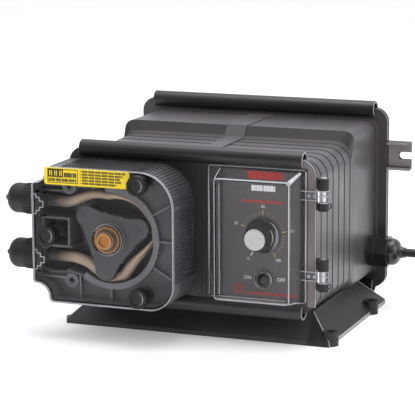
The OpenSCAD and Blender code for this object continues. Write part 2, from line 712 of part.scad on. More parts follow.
module switch_body() color("#202020") from_panel() difference() {
    union() {
        slab(panel_t, 22) round_rect(switch_at - [9, 7], switch_at + [9, 7], 1);
        rod_y(switch_at, -1.6, panel_t + eps, 12);
        for (x = [-6, 0, 6]) block([switch_at[0] + x - 0.4, 22 - eps, switch_at[1] - 2.4],
            [switch_at[0] + x + 0.4, 29, switch_at[1] + 2.4]);
    }
    rod_y(switch_at, -2, 10, 9.9);
    translate([switch_at[0], lever_pivot_y, switch_at[1] - lever_pin_h / 2 - 0.3])
        cylinder(h = lever_pin_h + 0.6, r = 1 + bore_fit);
}

module switch_bezel() color("#1a1a1a") from_panel() difference() {
    rod_y(switch_at, -2.8, -0.8, 16);
    rod_y(switch_at, -3, 0, 12);
}

// Rubber-booted toggle that stands tilted to its right-hand side
module switch_lever() color("#0e0e0e") from_panel() {
    translate([switch_at[0], lever_pivot_y, switch_at[1] - lever_pin_h / 2]) cylinder(h = lever_pin_h, r = 1);
    translate([switch_at[0], lever_pivot_y, switch_at[1]]) rotate([0, 0, lever_tilt]) rotate([90, 0, 0])
        rotate_extrude() polygon(concat([[0, -3], [2, -2.4], [3, 0], [3, 5], [3.6, 8]],
            arc([0, 10.5], 3.6, 0, 75, 5), [[0, 14.1]]));
}

// Tapered form of the clear box, set in by inset; it runs past the flange's back by past
module box_form(inset, y0, past = 0) {
    left = 4;
    right = 2.5;
    top = 5;
    bottom = 3.6;
    intersection() {
        translate([0, 0, box_z0 + inset]) linear_extrude(box_z1 - box_z0 - 2 * inset)
            polygon([[box_x0 + inset, flange_y1 + past], [box_x0 + inset, flange_y1],
                [box_x0 + left + inset, y0], [box_x1 - right - inset, y0], [box_x1 - inset, flange_y1],
                [box_x1 - inset, flange_y1 + past]]);
        rotate([90, 0, 90]) linear_extrude(150)
            polygon([[flange_y1 + past, box_z0 + inset], [flange_y1 + past, box_z1 - inset],
                [flange_y1, box_z1 - inset], [y0, box_z1 - top - inset], [y0, box_z0 + bottom + inset],
                [flange_y1, box_z0 + inset]]);
    }
}

module control_cover() color([0.85, 0.87, 0.9, 0.3]) from_panel() difference() {
    union() {
        difference() {
            union() {
                slab(flange_y0, flange_y1) round_rect([flange_x0, box_z0], [flange_x1, flange_z1], 4);
                box_form(0, -box_d);
            }
            box_form(box_wall, -box_d + box_wall, 1);
        }
        for (z = hinge_zs) {
            block([flange_x1 - 1, flange_y0, z - 4], [hinge_at[0], flange_y1, z + 4]);
            translate([hinge_at[0], hinge_at[1], z - knuckle_h / 2]) cylinder(h = knuckle_h, r = hinge_r);
        }
    }
    translate([hinge_at[0], hinge_at[1], 20]) cylinder(h = 150, r = hinge_pin_r + bore_fit);
}

lug_gap = 0.3;
function lug_h(s) = s > 0 ? 9.6 : 6.4;

// Black lugs above and below each clear knuckle, held on the panel's right edge
module hinge_brackets() color("#101010") from_panel() difference() {
    for (z = hinge_zs, s = [-1, 1]) {
        z0 = s > 0 ? z + knuckle_h / 2 + lug_gap : z - knuckle_h / 2 - lug_gap - lug_h(s);
        translate([hinge_at[0], hinge_at[1], z0]) cylinder(h = lug_h(s), r = hinge_r + 0.3);
        block([front_w / 2, 0.2, z0], [hinge_at[0] + 2, panel_t, z0 + lug_h(s)]);
    }
    translate([hinge_at[0], hinge_at[1], 20]) cylinder(h = 150, r = hinge_pin_r);
}

module hinge_pins() color("#303030") from_panel() for (z = hinge_zs) {
    z0 = z - knuckle_h / 2 - lug_gap - lug_h(-1);
    z1 = z + knuckle_h / 2 + lug_gap + lug_h(1);
    translate([hinge_at[0], hinge_at[1], z0]) cylinder(h = z1 - z0, r = hinge_pin_r);
    translate([hinge_at[0], hinge_at[1], z1]) cylinder(h = 1, r = 2.6);
}

// ---- inside the case ----

board_y = 26;
post_at = [[32, 48], [92, 48], [32, 132], [92, 132]];

module circuit_board() color("#1e5a33") from_panel() difference() {
    slab(board_y, board_y + 1.6) translate([27, 43]) square([70, 94]);
    for (p = post_at) rod_y(p, board_y - 1, board_y + 3, 3.4);
    rod_y(switch_at, board_y - 1, board_y + 3, 18);
}

module board_posts() color("silver") from_panel() for (p = post_at) difference() {
    rod_y(p, panel_t, board_y, 7);
    rod_y(p, board_y - 8, board_y + 1, 3);
}

module board_parts() color("#26303a") from_panel() {
    y1 = board_y + 1.6;
    rod_y([42, 118], y1, y1 + 26, 16);
    rod_y([42, 98], y1, y1 + 26, 16);
    block([58, y1, 104], [86, y1 + 12, 128]);
    block([76, y1, 66], [90, y1 + 9, 92]);
    for (z = [62, 70, 78]) block([34, y1, z], [50, y1 + 5, z + 4]);
}

module terminal_block() color("#d8d4c8") from_panel() {
    difference() {
        block([30, 96, body_z + wall + groove_deep], [84, 116, body_z + wall + groove_deep + 16]);
        for (x = [37, 48, 59, 70]) translate([x, 101, 38]) cylinder(h = 12, d = 5);
        for (x = [37, 48, 59, 70]) block([x - 2, 106, 33], [x + 2, 120, 38]);
    }
}

// ---- cable gland and cord ----

module hex_x(x0, x1, af) {
    translate([x0, gland_y, gland_z]) rotate([0, 90, 0]) rotate(30)
        cylinder(h = x1 - x0, r = af / sqrt(3), $fn = 6);
}

gland_in = wall_x - 1.4;

module gland_seal() color("#101010") from_panel() difference() {
    rod_x(gland_y, gland_z, gland_in, gland_in + 2, 27);
    rod_x(gland_y, gland_z, gland_in - 1, gland_in + 3, 20);
}

module gland_body() color("#141414") from_panel() difference() {
    union() {
        hex_x(gland_in + 2, gland_in + 8, 25.4);
        rod_x(gland_y, gland_z, gland_in - 14, gland_in + 8, 20);
        rod_x(gland_y, gland_z, gland_in + 8 - eps, gland_in + 16, 16);
    }
    rod_x(gland_y, gland_z, gland_in - 20, gland_in + 20, cord_d + 1);
}

module gland_locknut() color("#141414") from_panel() difference() {
    hex_x(gland_in - 12, gland_in - 6.6, 26);
    rod_x(gland_y, gland_z, gland_in - 20, gland_in, 20);
}

// Dome nut: hexagon, then a ribbed dome that grips the cord
module gland_nut() color("#141414") from_panel() difference() {
    union() {
        hex_x(gland_in + 8, gland_in + 20, 25.4);
        translate([gland_in + 20, gland_y, gland_z]) rotate([0, 90, 0]) rotate_extrude()
            polygon(concat([[0, -1], [12.4, -1], [12.4, 2]], arc([4.4, 2], 8, 0, 80, 8),
                [[cord_d / 2 + 1, 12.6], [cord_d / 2 + 1, 14.6], [0, 14.6]]));
    }
    rod_x(gland_y, gland_z, gland_in + 7, gland_in + 16, 16);
    rod_x(gland_y, gland_z, gland_in, gland_in + 40, cord_d + 0.2);
}

cord_sides = 10;

// Sweeps a ring of sides along points in space
module cable(pts, d) {
    n = len(pts);
    function along(i) = let (v = pts[min(i + 1, n - 1)] - pts[max(i - 1, 0)]) v / norm(v);
    function ring(i) = let (t = along(i), u = cross([0, 1, 0], t), a = u / norm(u), b = cross(t, a))
        [for (k = [0:cord_sides - 1]) let (q = 360 * k / cord_sides) pts[i] + d / 2 * (a * cos(q) + b * sin(q))];
    polyhedron(
        points = [for (i = [0:n - 1]) each ring(i)],
        faces = concat(
            [[for (k = [cord_sides - 1:-1:0]) k]],
            [for (i = [0:n - 2], k = [0:cord_sides - 1]) let (a = i * cord_sides, b = a + cord_sides,
                m = (k + 1) % cord_sides) [a + k, a + m, b + m, b + k]],
            [[for (k = [0:cord_sides - 1]) (n - 1) * cord_sides + k]]));
}

module power_cord() color("#101010") cable(cord_route, cord_d);
module plug_lead() color("#101010") cable(plug_route, cord_d);

coil_r = coil_d / 2;
coil_h = coil_rows * cord_d;

// Outer shape of the wound cord: two turns wide, three turns high
module cord_coil() color("#131313") translate([coil_at[0], coil_at[1], coil_z]) rotate_extrude($fn = 72)
    translate([coil_r - cord_d, 0]) square([2 * cord_d, coil_h]);

module cord_tie() color("#0a0a0a") translate([coil_at[0], coil_at[1], coil_z]) rotate(-120)
    translate([coil_r, -4, 0]) difference() {
    translate([-cord_d - 1.5, 0, -coil_z]) cube([2 * cord_d + 3, 8, coil_h + 2 * coil_z]);
    translate([-cord_d - 0.4, -1, 0]) cube([2 * cord_d + 0.8, 10, coil_h]);
}

plug_size = [24, 30, 20];
plug_at = plug_route[6];

module plug_body() color("#101010") translate(plug_at - [plug_size[0] / 2, plug_size[1], plug_size[2] / 2])
    cube(plug_size);

module plug_blades() color("silver") translate(plug_at - [0, plug_size[1], 0]) {
    for (x = [-6.3, 6.3]) translate([x - 0.75, -15, -3.2]) cube([1.5, 15, 6.4]);
    translate([0, -16, -6.6]) rotate([-90, 0, 0]) cylinder(h = 16, d = 4.7);
}

foot();
foot_screws();
case_body();
front_gasket();
front_panel();
rear_gasket();
rear_cover();
front_top_rail();
front_bottom_rail();
rear_top_rail();
rear_bottom_rail();
head_body();
head_screws();
head_cover();
cover_bearing();
cover_label();
cover_thumb_screws();
pump_tube();
inlet_fitting();
outlet_fitting();
inlet_cap();
outlet_cap();
drive_shaft();
rotor_front_plate();
rotor_rear_plate();
rotor_hub();
roller_pins();
roller_1();
roller_2();
roller_3();
gearbox();
motor();
motor_screws();
faceplate();
knob_skirt();
knob_cap();
pot_shaft();
speed_pot();
switch_body();
switch_bezel();
switch_lever();
control_cover();
hinge_brackets();
hinge_pins();
circuit_board();
board_posts();
board_parts();
terminal_block();
gland_seal();
gland_body();
gland_locknut();
gland_nut();
power_cord();
cord_coil();
cord_tie();
plug_lead();
plug_body();
plug_blades();
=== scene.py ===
import math

import bmesh
import bpy
from mathutils import Matrix, Vector


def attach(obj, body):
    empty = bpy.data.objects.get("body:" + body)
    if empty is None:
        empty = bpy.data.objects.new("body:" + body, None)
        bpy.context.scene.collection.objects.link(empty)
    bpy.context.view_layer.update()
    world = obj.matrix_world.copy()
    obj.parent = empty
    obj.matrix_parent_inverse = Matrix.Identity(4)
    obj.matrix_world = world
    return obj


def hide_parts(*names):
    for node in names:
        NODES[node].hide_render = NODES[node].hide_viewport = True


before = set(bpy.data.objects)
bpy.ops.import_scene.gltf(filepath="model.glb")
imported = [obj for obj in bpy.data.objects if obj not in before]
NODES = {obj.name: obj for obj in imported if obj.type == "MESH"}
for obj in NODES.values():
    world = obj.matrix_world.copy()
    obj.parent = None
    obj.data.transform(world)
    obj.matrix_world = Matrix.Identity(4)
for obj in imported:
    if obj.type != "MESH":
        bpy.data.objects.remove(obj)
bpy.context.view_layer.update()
MM = 0.001
PANEL_Y = -76.0


def panel(x, y, z):
    """Point in metres from the panel's frame, whose Y is 0 at the panel's face, in mm."""
    return Vector((x, y + PANEL_Y, z)) * MM


# ---- camera ----

def make_camera():
    """Camera solved from the photo's panel, flange, rail and foot edges together."""
    right = Vector((0.93119, 0.36453, 0.0))
    up = Vector((-0.07158, 0.18285, 0.98053))
    back = Vector((0.35743, -0.91306, 0.19636))
    roll = math.radians(-0.335)
    r = right * math.cos(roll) + up * math.sin(roll)
    u = -right * math.sin(roll) + up * math.cos(roll)
    cam = bpy.data.objects.new("camera", bpy.data.cameras.new("camera"))
    bpy.context.scene.collection.objects.link(cam)
    m = Matrix((r, u, back)).transposed().to_4x4()
    m.translation = Vector((0.630565, -1.645724, 0.452709))
    cam.matrix_world = m
    cam.data.sensor_width = 36.0
    cam.data.lens = 176.35
    cam.data.clip_start = 0.05
    bpy.context.scene.camera = cam


make_camera()


# ---- materials ----

def new_material(name):
    """Material with a Principled shader wired to its output; returns it, its node tree and the shader."""
    m = bpy.data.materials.new(name)
    m.use_nodes = True
    nt = m.node_tree
    nt.nodes.clear()
    out = nt.nodes.new("ShaderNodeOutputMaterial")
    p = nt.nodes.new("ShaderNodeBsdfPrincipled")
    nt.links.new(p.outputs[0], out.inputs["Surface"])
    return m, nt, p


def noise(nt, scale, detail=3.0, rough=0.5, stretch=None):
    """Noise value in the object's own coordinates, which may be stretched."""
    co = nt.nodes.new("ShaderNodeTexCoord")
    n = nt.nodes.new("ShaderNodeTexNoise")
    n.inputs["Scale"].default_value = scale
    n.inputs["Detail"].default_value = detail
    n.inputs["Roughness"].default_value = rough
    source = co.outputs["Object"]
    if stretch:
        mp = nt.nodes.new("ShaderNodeMapping")
        mp.inputs["Scale"].default_value = stretch
        nt.links.new(source, mp.inputs["Vector"])
        source = mp.outputs[0]
    nt.links.new(source, n.inputs["Vector"])
    return n.outputs["Fac"]


def spread(nt, fac, low, high, a=0.3, b=0.7):
    """Maps a 0..1 value from a..b to low..high."""
    r = nt.nodes.new("ShaderNodeMapRange")
    r.inputs["From Min"].default_value = a
    r.inputs["From Max"].default_value = b
    r.inputs["To Min"].default_value = low
    r.inputs["To Max"].default_value = high
    nt.links.new(fac, r.inputs["Value"])
    return r.outputs[0]


def mix_colour(nt, fac, c0, c1):
    """Mix of two colours, each a tuple or another node's output."""
    r = nt.nodes.new("ShaderNodeMix")
    r.data_type = "RGBA"
    for i, c in ((6, c0), (7, c1)):
        if isinstance(c, tuple):
            r.inputs[i].default_value = (*c, 1.0)
        else:
            nt.links.new(c, r.inputs[i])
    nt.links.new(fac, r.inputs[0])
    return r.outputs[2]


BLOTCH_SCALE = 35.0     # noise cells per metre
GRAIN_DEPTH = 0.05      # mm


def surface(name, colour, rough, *, edge, metal=0.0, vary=0.18, rough_vary=0.08, grain=900.0, bump=0.12,
            coat=0.0, coat_rough=0.2, sheen=0.0, spec=0.5, stretch=None):
    """A moulded or turned surface: blotchy colour, uneven gloss, fine grain, edges rounded by edge mm."""
    m, nt, p = new_material(name)
    big = noise(nt, BLOTCH_SCALE, 4.0, 0.55)
    fine = noise(nt, grain, 2.0, 0.6, stretch)
    dark = tuple(c * (1 - vary) for c in colour)
    light = tuple(min(1, c * (1 + vary)) for c in colour)
    nt.links.new(mix_colour(nt, spread(nt, big, 0, 1), dark, light), p.inputs["Base Color"])
    nt.links.new(spread(nt, big, rough - rough_vary, rough + rough_vary), p.inputs["Roughness"])
    p.inputs["Metallic"].default_value = metal
    p.inputs["Coat Weight"].default_value = coat
    p.inputs["Coat Roughness"].default_value = coat_rough
    p.inputs["Sheen Weight"].default_value = sheen
    p.inputs["Specular IOR Level"].default_value = spec
    b = nt.nodes.new("ShaderNodeBump")
    b.inputs["Strength"].default_value = bump
    b.inputs["Distance"].default_value = GRAIN_DEPTH * MM
    nt.links.new(fine, b.inputs["Height"])
    if edge:
        bv = nt.nodes.new("ShaderNodeBevel")
        bv.samples = 4
        bv.inputs["Radius"].default_value = edge * MM
        nt.links.new(bv.outputs[0], b.inputs["Normal"])
    nt.links.new(b.outputs[0], p.inputs["Normal"])
    return m


# far below a real plastic's 1.5: stronger reflections left noise behind the covers
CLEAR_IOR = 1.17
CLEAR_ROUGH = 0.004


def clear(name):
    """Clear moulded plastic that lets lamps reach what is behind it."""
    m, nt, p = new_material(name)
    p.inputs["Base Color"].default_value = (0.97, 0.975, 0.98, 1.0)
    p.inputs["Transmission Weight"].default_value = 1.0
    p.inputs["IOR"].default_value = CLEAR_IOR
    wave = noise(nt, 60.0, 2.0)
    nt.links.new(spread(nt, wave, CLEAR_ROUGH, CLEAR_ROUGH * 2.5), p.inputs["Roughness"])
    b = nt.nodes.new("ShaderNodeBump")
    b.inputs["Strength"].default_value = 0.05
    b.inputs["Distance"].default_value = 0.0002
    nt.links.new(wave, b.inputs["Height"])
    nt.links.new(b.outputs[0], p.inputs["Normal"])
    out = next(n for n in nt.nodes if n.type == "OUTPUT_MATERIAL")
    path = nt.nodes.new("ShaderNodeLightPath")
    through = nt.nodes.new("ShaderNodeBsdfTransparent")
    through.inputs[0].default_value = (0.93, 0.94, 0.95, 1.0)
    mix = nt.nodes.new("ShaderNodeMixShader")
    nt.links.new(path.outputs["Is Shadow Ray"], mix.inputs[0])
    nt.links.new(p.outputs[0], mix.inputs[1])
    nt.links.new(through.outputs[0], mix.inputs[2])
    nt.links.new(mix.outputs[0], out.inputs["Surface"])
    return m


MAT = {
    "case": surface("case_plastic", (0.056, 0.049, 0.055), 0.4, vary=0.07, grain=1400, bump=0.2, coat=0.15,
                    coat_rough=0.35, edge=0.8),
    "panel": surface("panel_plastic", (0.021, 0.02, 0.022), 0.45, vary=0.15, grain=1500, bump=0.2, edge=0.5),
    "rail": surface("rail_plastic", (0.019, 0.018, 0.0185), 0.36, vary=0.05, rough_vary=0.02, grain=500,
                    bump=0.02, stretch=(0.1, 1, 1), edge=0.2),
    "foot": surface("foot_plastic", (0.046, 0.044, 0.045), 0.55, vary=0.2, grain=1200, bump=0.25, edge=0.5),
    "rubber": surface("black_rubber", (0.012, 0.012, 0.012), 0.7, vary=0.2, grain=1800, bump=0.3, edge=0.2),
    "head": surface("head_plastic", (0.05, 0.048, 0.053), 0.5, vary=0.1, grain=700, bump=0.03, edge=0.4),
    "clear": clear("clear_plastic"),
    "bronze": surface("sintered_bronze", (0.34, 0.155, 0.05), 0.34, metal=1.0, grain=2600, bump=0.3,
                      edge=0.25),
    # painted light: lighter bronze for the bush's lit faces
    "bronze_lit": surface("bronze_lit", (0.45, 0.21, 0.07), 0.45, metal=0.4, vary=0.15, grain=2600,
                           bump=0.2, edge=0),
    "yellow": surface("label_yellow", (0.93, 0.68, 0.0), 0.42, vary=0.04, grain=1800, bump=0.05, edge=0),
    # painted highlight: pale grey for the bright edges, glints and reflections drawn on the covers, bush,
    # thumb screws, knob, switch, hinges, foot and panel rim
    "highlight_paint": surface("painted_highlight", (0.47, 0.47, 0.49), 0.25, vary=0.08, grain=700, bump=0.05, coat=0.4,
                     coat_rough=0.1, edge=0),
    "ink": surface("label_ink", (0.02, 0.018, 0.012), 0.45, vary=0.1, grain=1800, bump=0.05, edge=0),
    "knob": surface("knob_plastic", (0.013, 0.012, 0.013), 0.24, vary=0.15, grain=1300, bump=0.15, edge=0.3),
    "steel": surface("turned_steel", (0.58, 0.58, 0.6), 0.28, metal=1.0, vary=0.1, grain=900, bump=0.1,
                     edge=0.2),
    "tube": surface("tube_elastomer", (0.56, 0.41, 0.29), 0.5, vary=0.07, grain=1500, bump=0.12, sheen=0.2,
                    edge=0),
    "fitting": surface("fitting_plastic", (0.04, 0.04, 0.042), 0.45, grain=1300, bump=0.15, edge=0.3),
    "cap": surface("cap_plastic", (0.006, 0.0058, 0.006), 0.5, vary=0.2, grain=1500, bump=0.3, edge=0.4),
    # painted shadow: darker bronze for the ring between the bush's lit faces
    "bronze_shade": surface("bronze_painted_shadow", (0.13, 0.085, 0.05), 0.5, metal=0.3, vary=0.2, edge=0),
    "fin": surface("head_fin_plastic", (0.042, 0.04, 0.044), 0.28, vary=0.12, grain=1300, bump=0.1, edge=0),
    # painted light: lighter grey for the front faces of the head's ribs and track ring
    "rib": surface("head_rib_lit", (0.16, 0.153, 0.165), 0.45, vary=0.1, grain=700, bump=0.03, edge=0),
    "pin": surface("pin_steel_dark", (0.06, 0.058, 0.06), 0.4, metal=0.6, vary=0.15, bump=0.1, edge=0.1),
    "rotor": surface("rotor_plastic", (0.06, 0.057, 0.064), 0.45, vary=0.1, grain=700, bump=0.03, edge=0.5),
    "roller": surface("roller_plastic", (0.008, 0.008, 0.008), 0.3, vary=0.2, bump=0.03, coat=0.2,
                      edge=0.4),
    "cast": surface("cast_metal", (0.45, 0.45, 0.47), 0.5, metal=0.9, grain=900, bump=0.35, edge=0.4),
    "motor": surface("motor_paint", (0.17, 0.17, 0.18), 0.4, grain=900, bump=0.15, edge=0.3, coat=0.3),
    "film": surface("faceplate_film", (0.088, 0.078, 0.082), 0.5, vary=0.06, grain=2400, bump=0.1, edge=0.2),
    "disc": surface("knob_disc", (0.52, 0.5, 0.49), 0.34, metal=1.0, vary=0.05, grain=600, bump=0.12,
                    edge=0.15),
    # painted light: light grey for lit faces, the foot's right lip, the rear cover's ear and the rails' cut
    # ends
    "lit_paint": surface("lit_strip", (0.32, 0.285, 0.3), 0.4, vary=0.08, grain=1500, bump=0.1, edge=0),
    # painted light: the lit strip along the panel's right side
    "side_lit_paint": surface("panel_side_lit", (0.17, 0.148, 0.152), 0.45, vary=0.2, grain=1500, bump=0.1, edge=0),
    # painted shade: dark grey for the step in the case's roof
    "step_shade": surface("case_step_shade", (0.017, 0.017, 0.019), 0.4, vary=0.1, grain=1400, bump=0.2, edge=0),
    # painted highlight: light grey for the edges of the switch's ring
    "ring": surface("switch_ring_highlight", (0.24, 0.225, 0.23), 0.3, vary=0.1, grain=900, bump=0.05, edge=0),
    "disc_dark": surface("knob_disc_dark", (0.3, 0.3, 0.31), 0.3, metal=1.0, vary=0.05, grain=600, bump=0.1,
                         edge=0),
    "gloss": surface("gloss_black", (0.009, 0.009, 0.009), 0.38, vary=0.15, grain=1000, bump=0.05, edge=0.25,
                     spec=0.35),
    "boot": surface("switch_boot", (0.012, 0.012, 0.012), 0.3, vary=0.2, grain=1700, bump=0.2, edge=0.3),
    "board": surface("board_green", (0.02, 0.14, 0.05), 0.4, vary=0.15, grain=800, bump=0.1, coat=0.3,
                     edge=0.1),
    "parts": surface("component_black", (0.03, 0.035, 0.05), 0.35, grain=900, bump=0.1, edge=0.2),
    "ivory": surface("terminal_ivory", (0.62, 0.58, 0.48), 0.45, vary=0.06, grain=900, bump=0.1, edge=0.2),
    "gland": surface("gland_nylon", (0.012, 0.012, 0.0125), 0.22, vary=0.2, grain=1300, bump=0.06, coat=0.3,
                     edge=0.7),
    "cord": surface("cord_jacket", (0.012, 0.012, 0.012), 0.45, vary=0.2, grain=1500, bump=0.2, edge=0),
    "blade": surface("plated_brass", (0.7, 0.62, 0.44), 0.25, metal=1.0, vary=0.08, grain=700, bump=0.1,
                     edge=0.15),
    "white": surface("print_white", (0.72, 0.72, 0.72), 0.5, vary=0.03, grain=1800, bump=0.03, edge=0),
    "red": surface("print_red", (0.42, 0.03, 0.022), 0.5, vary=0.06, grain=1800, bump=0.03, edge=0),
    "gold": surface("print_gold", (0.5, 0.39, 0.12), 0.5, vary=0.05, grain=1800, bump=0.03, edge=0),
}


def shade_along(m, other, axis, p0, p1):
    """Blend a material into another colour along an axis: its own from p1 (mm) on, the other up to p0."""
    nt = m.node_tree
    p = next(n for n in nt.nodes if n.type == "BSDF_PRINCIPLED")
    colour = p.inputs["Base Color"].links[0].from_socket
    place = nt.nodes.new("ShaderNodeTexCoord")
    split = nt.nodes.new("ShaderNodeSeparateXYZ")
    nt.links.new(place.outputs["Object"], split.inputs[0])
    fade = spread(nt, split.outputs[axis], 0, 1, p0 * MM, p1 * MM)
    nt.links.new(mix_colour(nt, fade, other, colour), p.inputs["Base Color"])


# light of the photo, put into the colours: the tube is dark inside the ports, the foot's right slope is
# darker, and the head is paler behind the clear cover
shade_along(MAT["tube"], (0.045, 0.04, 0.04), "X", -111, -92)
shade_along(MAT["foot"], (0.009, 0.0095, 0.0105), "X", 104, 100)
shade_along(MAT["head"], (0.098, 0.094, 0.103), "Y", -109, -106.5)

NODE_MATERIALS = {
    "foot": ["foot"],
    "case": ["case_body"],
    "panel": ["front_panel", "rear_cover"],
    "rail": ["front_top_rail", "front_bottom_rail", "rear_top_rail", "rear_bottom_rail"],
    "rubber": ["front_gasket", "rear_gasket", "gland_seal"],
    "head": ["head_body"],
    "clear": ["head_cover", "control_cover"],
    "bronze": ["cover_bearing"],
    "yellow": ["cover_label"],
    "knob": ["knob_skirt"],
    "pin": ["roller_pins", "head_screws"],
    "steel": ["foot_screws", "drive_shaft", "motor_screws", "board_posts",
              "pot_shaft", "hinge_pins", "speed_pot"],
    "tube": ["pump_tube"],
    "fitting": ["inlet_fitting", "outlet_fitting"],
    "cap": ["inlet_cap", "outlet_cap"],
    "rotor": ["rotor_front_plate", "rotor_rear_plate", "rotor_hub"],
    "roller": ["roller_1", "roller_2", "roller_3"],
    "cast": ["gearbox"],
    "motor": ["motor"],
    "film": ["faceplate"],
    "disc": ["knob_cap"],
    "gloss": ["cover_thumb_screws", "switch_body", "switch_bezel", "hinge_brackets"],
    "boot": ["switch_lever"],
    "board": ["circuit_board"],
    "parts": ["board_parts"],
    "ivory": ["terminal_block"],
    "gland": ["gland_body", "gland_locknut", "gland_nut"],
    "cord": ["power_cord", "cord_coil", "cord_tie", "plug_lead", "plug_body"],
    "blade": ["plug_blades"],
}
for key, names in NODE_MATERIALS.items():
    for n in names:
        NODES[n].data.materials.clear()
        NODES[n].data.materials.append(MAT[key])


# ---- shared mesh helpers ----

def add(name, bm, key, body="pump_body", *, smooth=True):
    """Makes an object from bm, gives it a material, and lets it ride on a body."""
    me = bpy.data.meshes.new(name)
    bmesh.ops.recalc_face_normals(bm, faces=bm.faces[:])
    bm.to_mesh(me)
    bm.free()
    o = bpy.data.objects.new(name, me)
    bpy.context.scene.collection.objects.link(o)
    me.materials.append(MAT[key])
    if smooth:
        for f in me.polygons:
            f.use_smooth = True
        me.set_sharp_from_angle(angle=math.radians(35))
    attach(o, body)
    return o


def skin(bm, rings):
    """Closed skin over rings that all have the same number of vertices."""
    sides = len(rings[0])
    for a, b in zip(rings, rings[1:]):
        for k in range(sides):
            m = (k + 1) % sides
            bm.faces.new((a[k], a[m], b[m], b[k]))
    bm.faces.new(rings[0][::-1])
    bm.faces.new(rings[-1])


def sweep(bm, points, radius, sides):
    """Round rod along points; the radius is a length or a function of 0..1 along the rod."""
    rings = []
    u = None
    n = len(points)
    for i, p in enumerate(points):
        t = (points[min(i + 1, n - 1)] - points[max(i - 1, 0)]).normalized()
        u = Vector((0, 0, 1)).cross(t) if u is None else u - t * u.dot(t)
        if u.length < 1e-6:
            u = Vector((0, 1, 0)).cross(t)
        u.normalize()
        v = t.cross(u)
        r = radius(i / (n - 1)) if callable(radius) else radius
        rings.append([bm.verts.new(p + (u * math.cos(a) + v * math.sin(a)) * r)
                      for a in (2 * math.pi * k / sides for k in range(sides))])
    skin(bm, rings)


def swell(least, rise):
    """Radius of a rod that is thickest half way, for sweep; in mm."""
    return lambda t: (least + rise * math.sin(math.pi * t)) * MM


def smooth_path(points, per):
    """Catmull-Rom curve through the points, with per pieces between each two."""
    out = []
    n = len(points)
    for i in range(n - 1):
        a, b, c, d = (points[max(0, min(n - 1, k))] for k in (i - 1, i, i + 1, i + 2))
        for s in range(per):
            t = s / per
            out.append(0.5 * ((2 * b) + (c - a) * t + (2 * a - 5 * b + 4 * c - d) * t * t
                              + (3 * b - a - 3 * c + d) * t ** 3))
    out.append(points[-1])
    return out


# ---- small builders ----

def bar(bm, a, b):
    """Box between two corners given in the panel's frame, in mm."""
    lo = panel(*(min(p, q) for p, q in zip(a, b)))
    hi = panel(*(max(p, q) for p, q in zip(a, b)))
    corners = [bm.verts.new((x, y, z)) for x in (lo.x, hi.x) for y in (lo.y, hi.y) for z in (lo.z, hi.z)]
    for f in ((0, 1, 3, 2), (4, 6, 7, 5), (0, 4, 5, 1), (2, 3, 7, 6), (0, 2, 6, 4), (1, 5, 7, 3)):
        bm.faces.new([corners[i] for i in f])


def plate(bm, outline, y0, y1):
    """Flat plate with an outline of (x, z) points, from y0 back to y1."""
    front = [bm.verts.new(panel(x, y0, z)) for x, z in outline]
    back = [bm.verts.new(panel(x, y1, z)) for x, z in outline]
    bm.faces.new(front)
    bm.faces.new(back[::-1])
    n = len(outline)
    for i in range(n):
        j = (i + 1) % n
        bm.faces.new((front[i], front[j], back[j], back[i]))


def arc2(cx, cz, r, a0, a1, n):
    """Points of an arc from a0 to a1 degrees, in n pieces."""
    return [(cx + r * math.cos(math.radians(a0 + (a1 - a0) * k / n)),
             cz + r * math.sin(math.radians(a0 + (a1 - a0) * k / n))) for k in range(n + 1)]


def round_box(x0, x1, z0, z1, r):
    """Outline of a rectangle with rounded corners."""
    return (arc2(x1 - r, z1 - r, r, 0, 90, 6) + arc2(x0 + r, z1 - r, r, 90, 180, 6)
            + arc2(x0 + r, z0 + r, r, 180, 270, 6) + arc2(x1 - r, z0 + r, r, 270, 360, 6))


def ring2(bm, cx, cz, r0, r1, y0, y1, a0=0.0, a1=360.0, n=64):
    """Flat ring, or part of one, in the plane of the panel."""
    full = a1 - a0 >= 360
    count = n if full else n + 1
    loops = []
    for r, y in ((r0, y0), (r1, y0), (r1, y1), (r0, y1)):
        loops.append([bm.verts.new(panel(cx + r * math.cos(a), y, cz + r * math.sin(a)))
                      for a in (math.radians(a0 + (a1 - a0) * k / n) for k in range(count))])
    for i in range(n):
        j = (i + 1) % count
        for p, q in zip(loops, loops[1:] + loops[:1]):
            bm.faces.new((p[i], p[j], q[j], q[i]))
    if not full:
        bm.faces.new([l[0] for l in loops])
        bm.faces.new([l[-1] for l in loops][::-1])


def beads(name, lines, r, key, body, sides=8):
    """Thin rounded edges along lines of panel-frame points, in mm."""
    bm = bmesh.new()
    for line in lines:
        sweep(bm, [panel(*p) for p in line], r * MM, sides)
    return add(name, bm, key, body)


LETTER_DEPTH = 0.04     # mm


def word(name, text, x, y, z, size, key):
    """Raised lettering that faces the front, centred on x and z."""
    c = bpy.data.curves.new(name, "FONT")
    c.body = text
    c.size = size * MM
    c.align_x = "CENTER"
    c.align_y = "CENTER"
    c.extrude = LETTER_DEPTH * MM
    o = bpy.data.objects.new(name, c)
    bpy.context.scene.collection.objects.link(o)
    o.matrix_world = Matrix.Translation(panel(x, y, z)) @ Matrix.Rotation(math.radians(90), 4, "X")
    c.materials.append(MAT[key])
    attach(o, "pump_body")


# ---- pump head: tube, fins, cover edges, label ----

# sizes in mm and angles in degrees from here on, in the panel's frame
ROTOR_X, ROTOR_Z = -57.5, 90.5
TRACK_R, TUBE_D = 39.0, 9.5
PIN_R, ROLLER_D, FIRST_ROLLER = 28.2, 15.8, 20.5
ROLLER_GAP, LEAST_TUBE = 1.5, 1.7      # between roller and tube; the squeezed tube's least thickness
HEAD_X0, HEAD_X1, HEAD_Z0, HEAD_Z1 = -125.7, 3.6, 33.3, 150.8
COVER_Y = -48.0
TUBE_Y, UPPER_PORT, LOWER_PORT = -27.0, 118.0, 69.8
RIB_FRONT, RIB_BACK = -36.06, -35.9


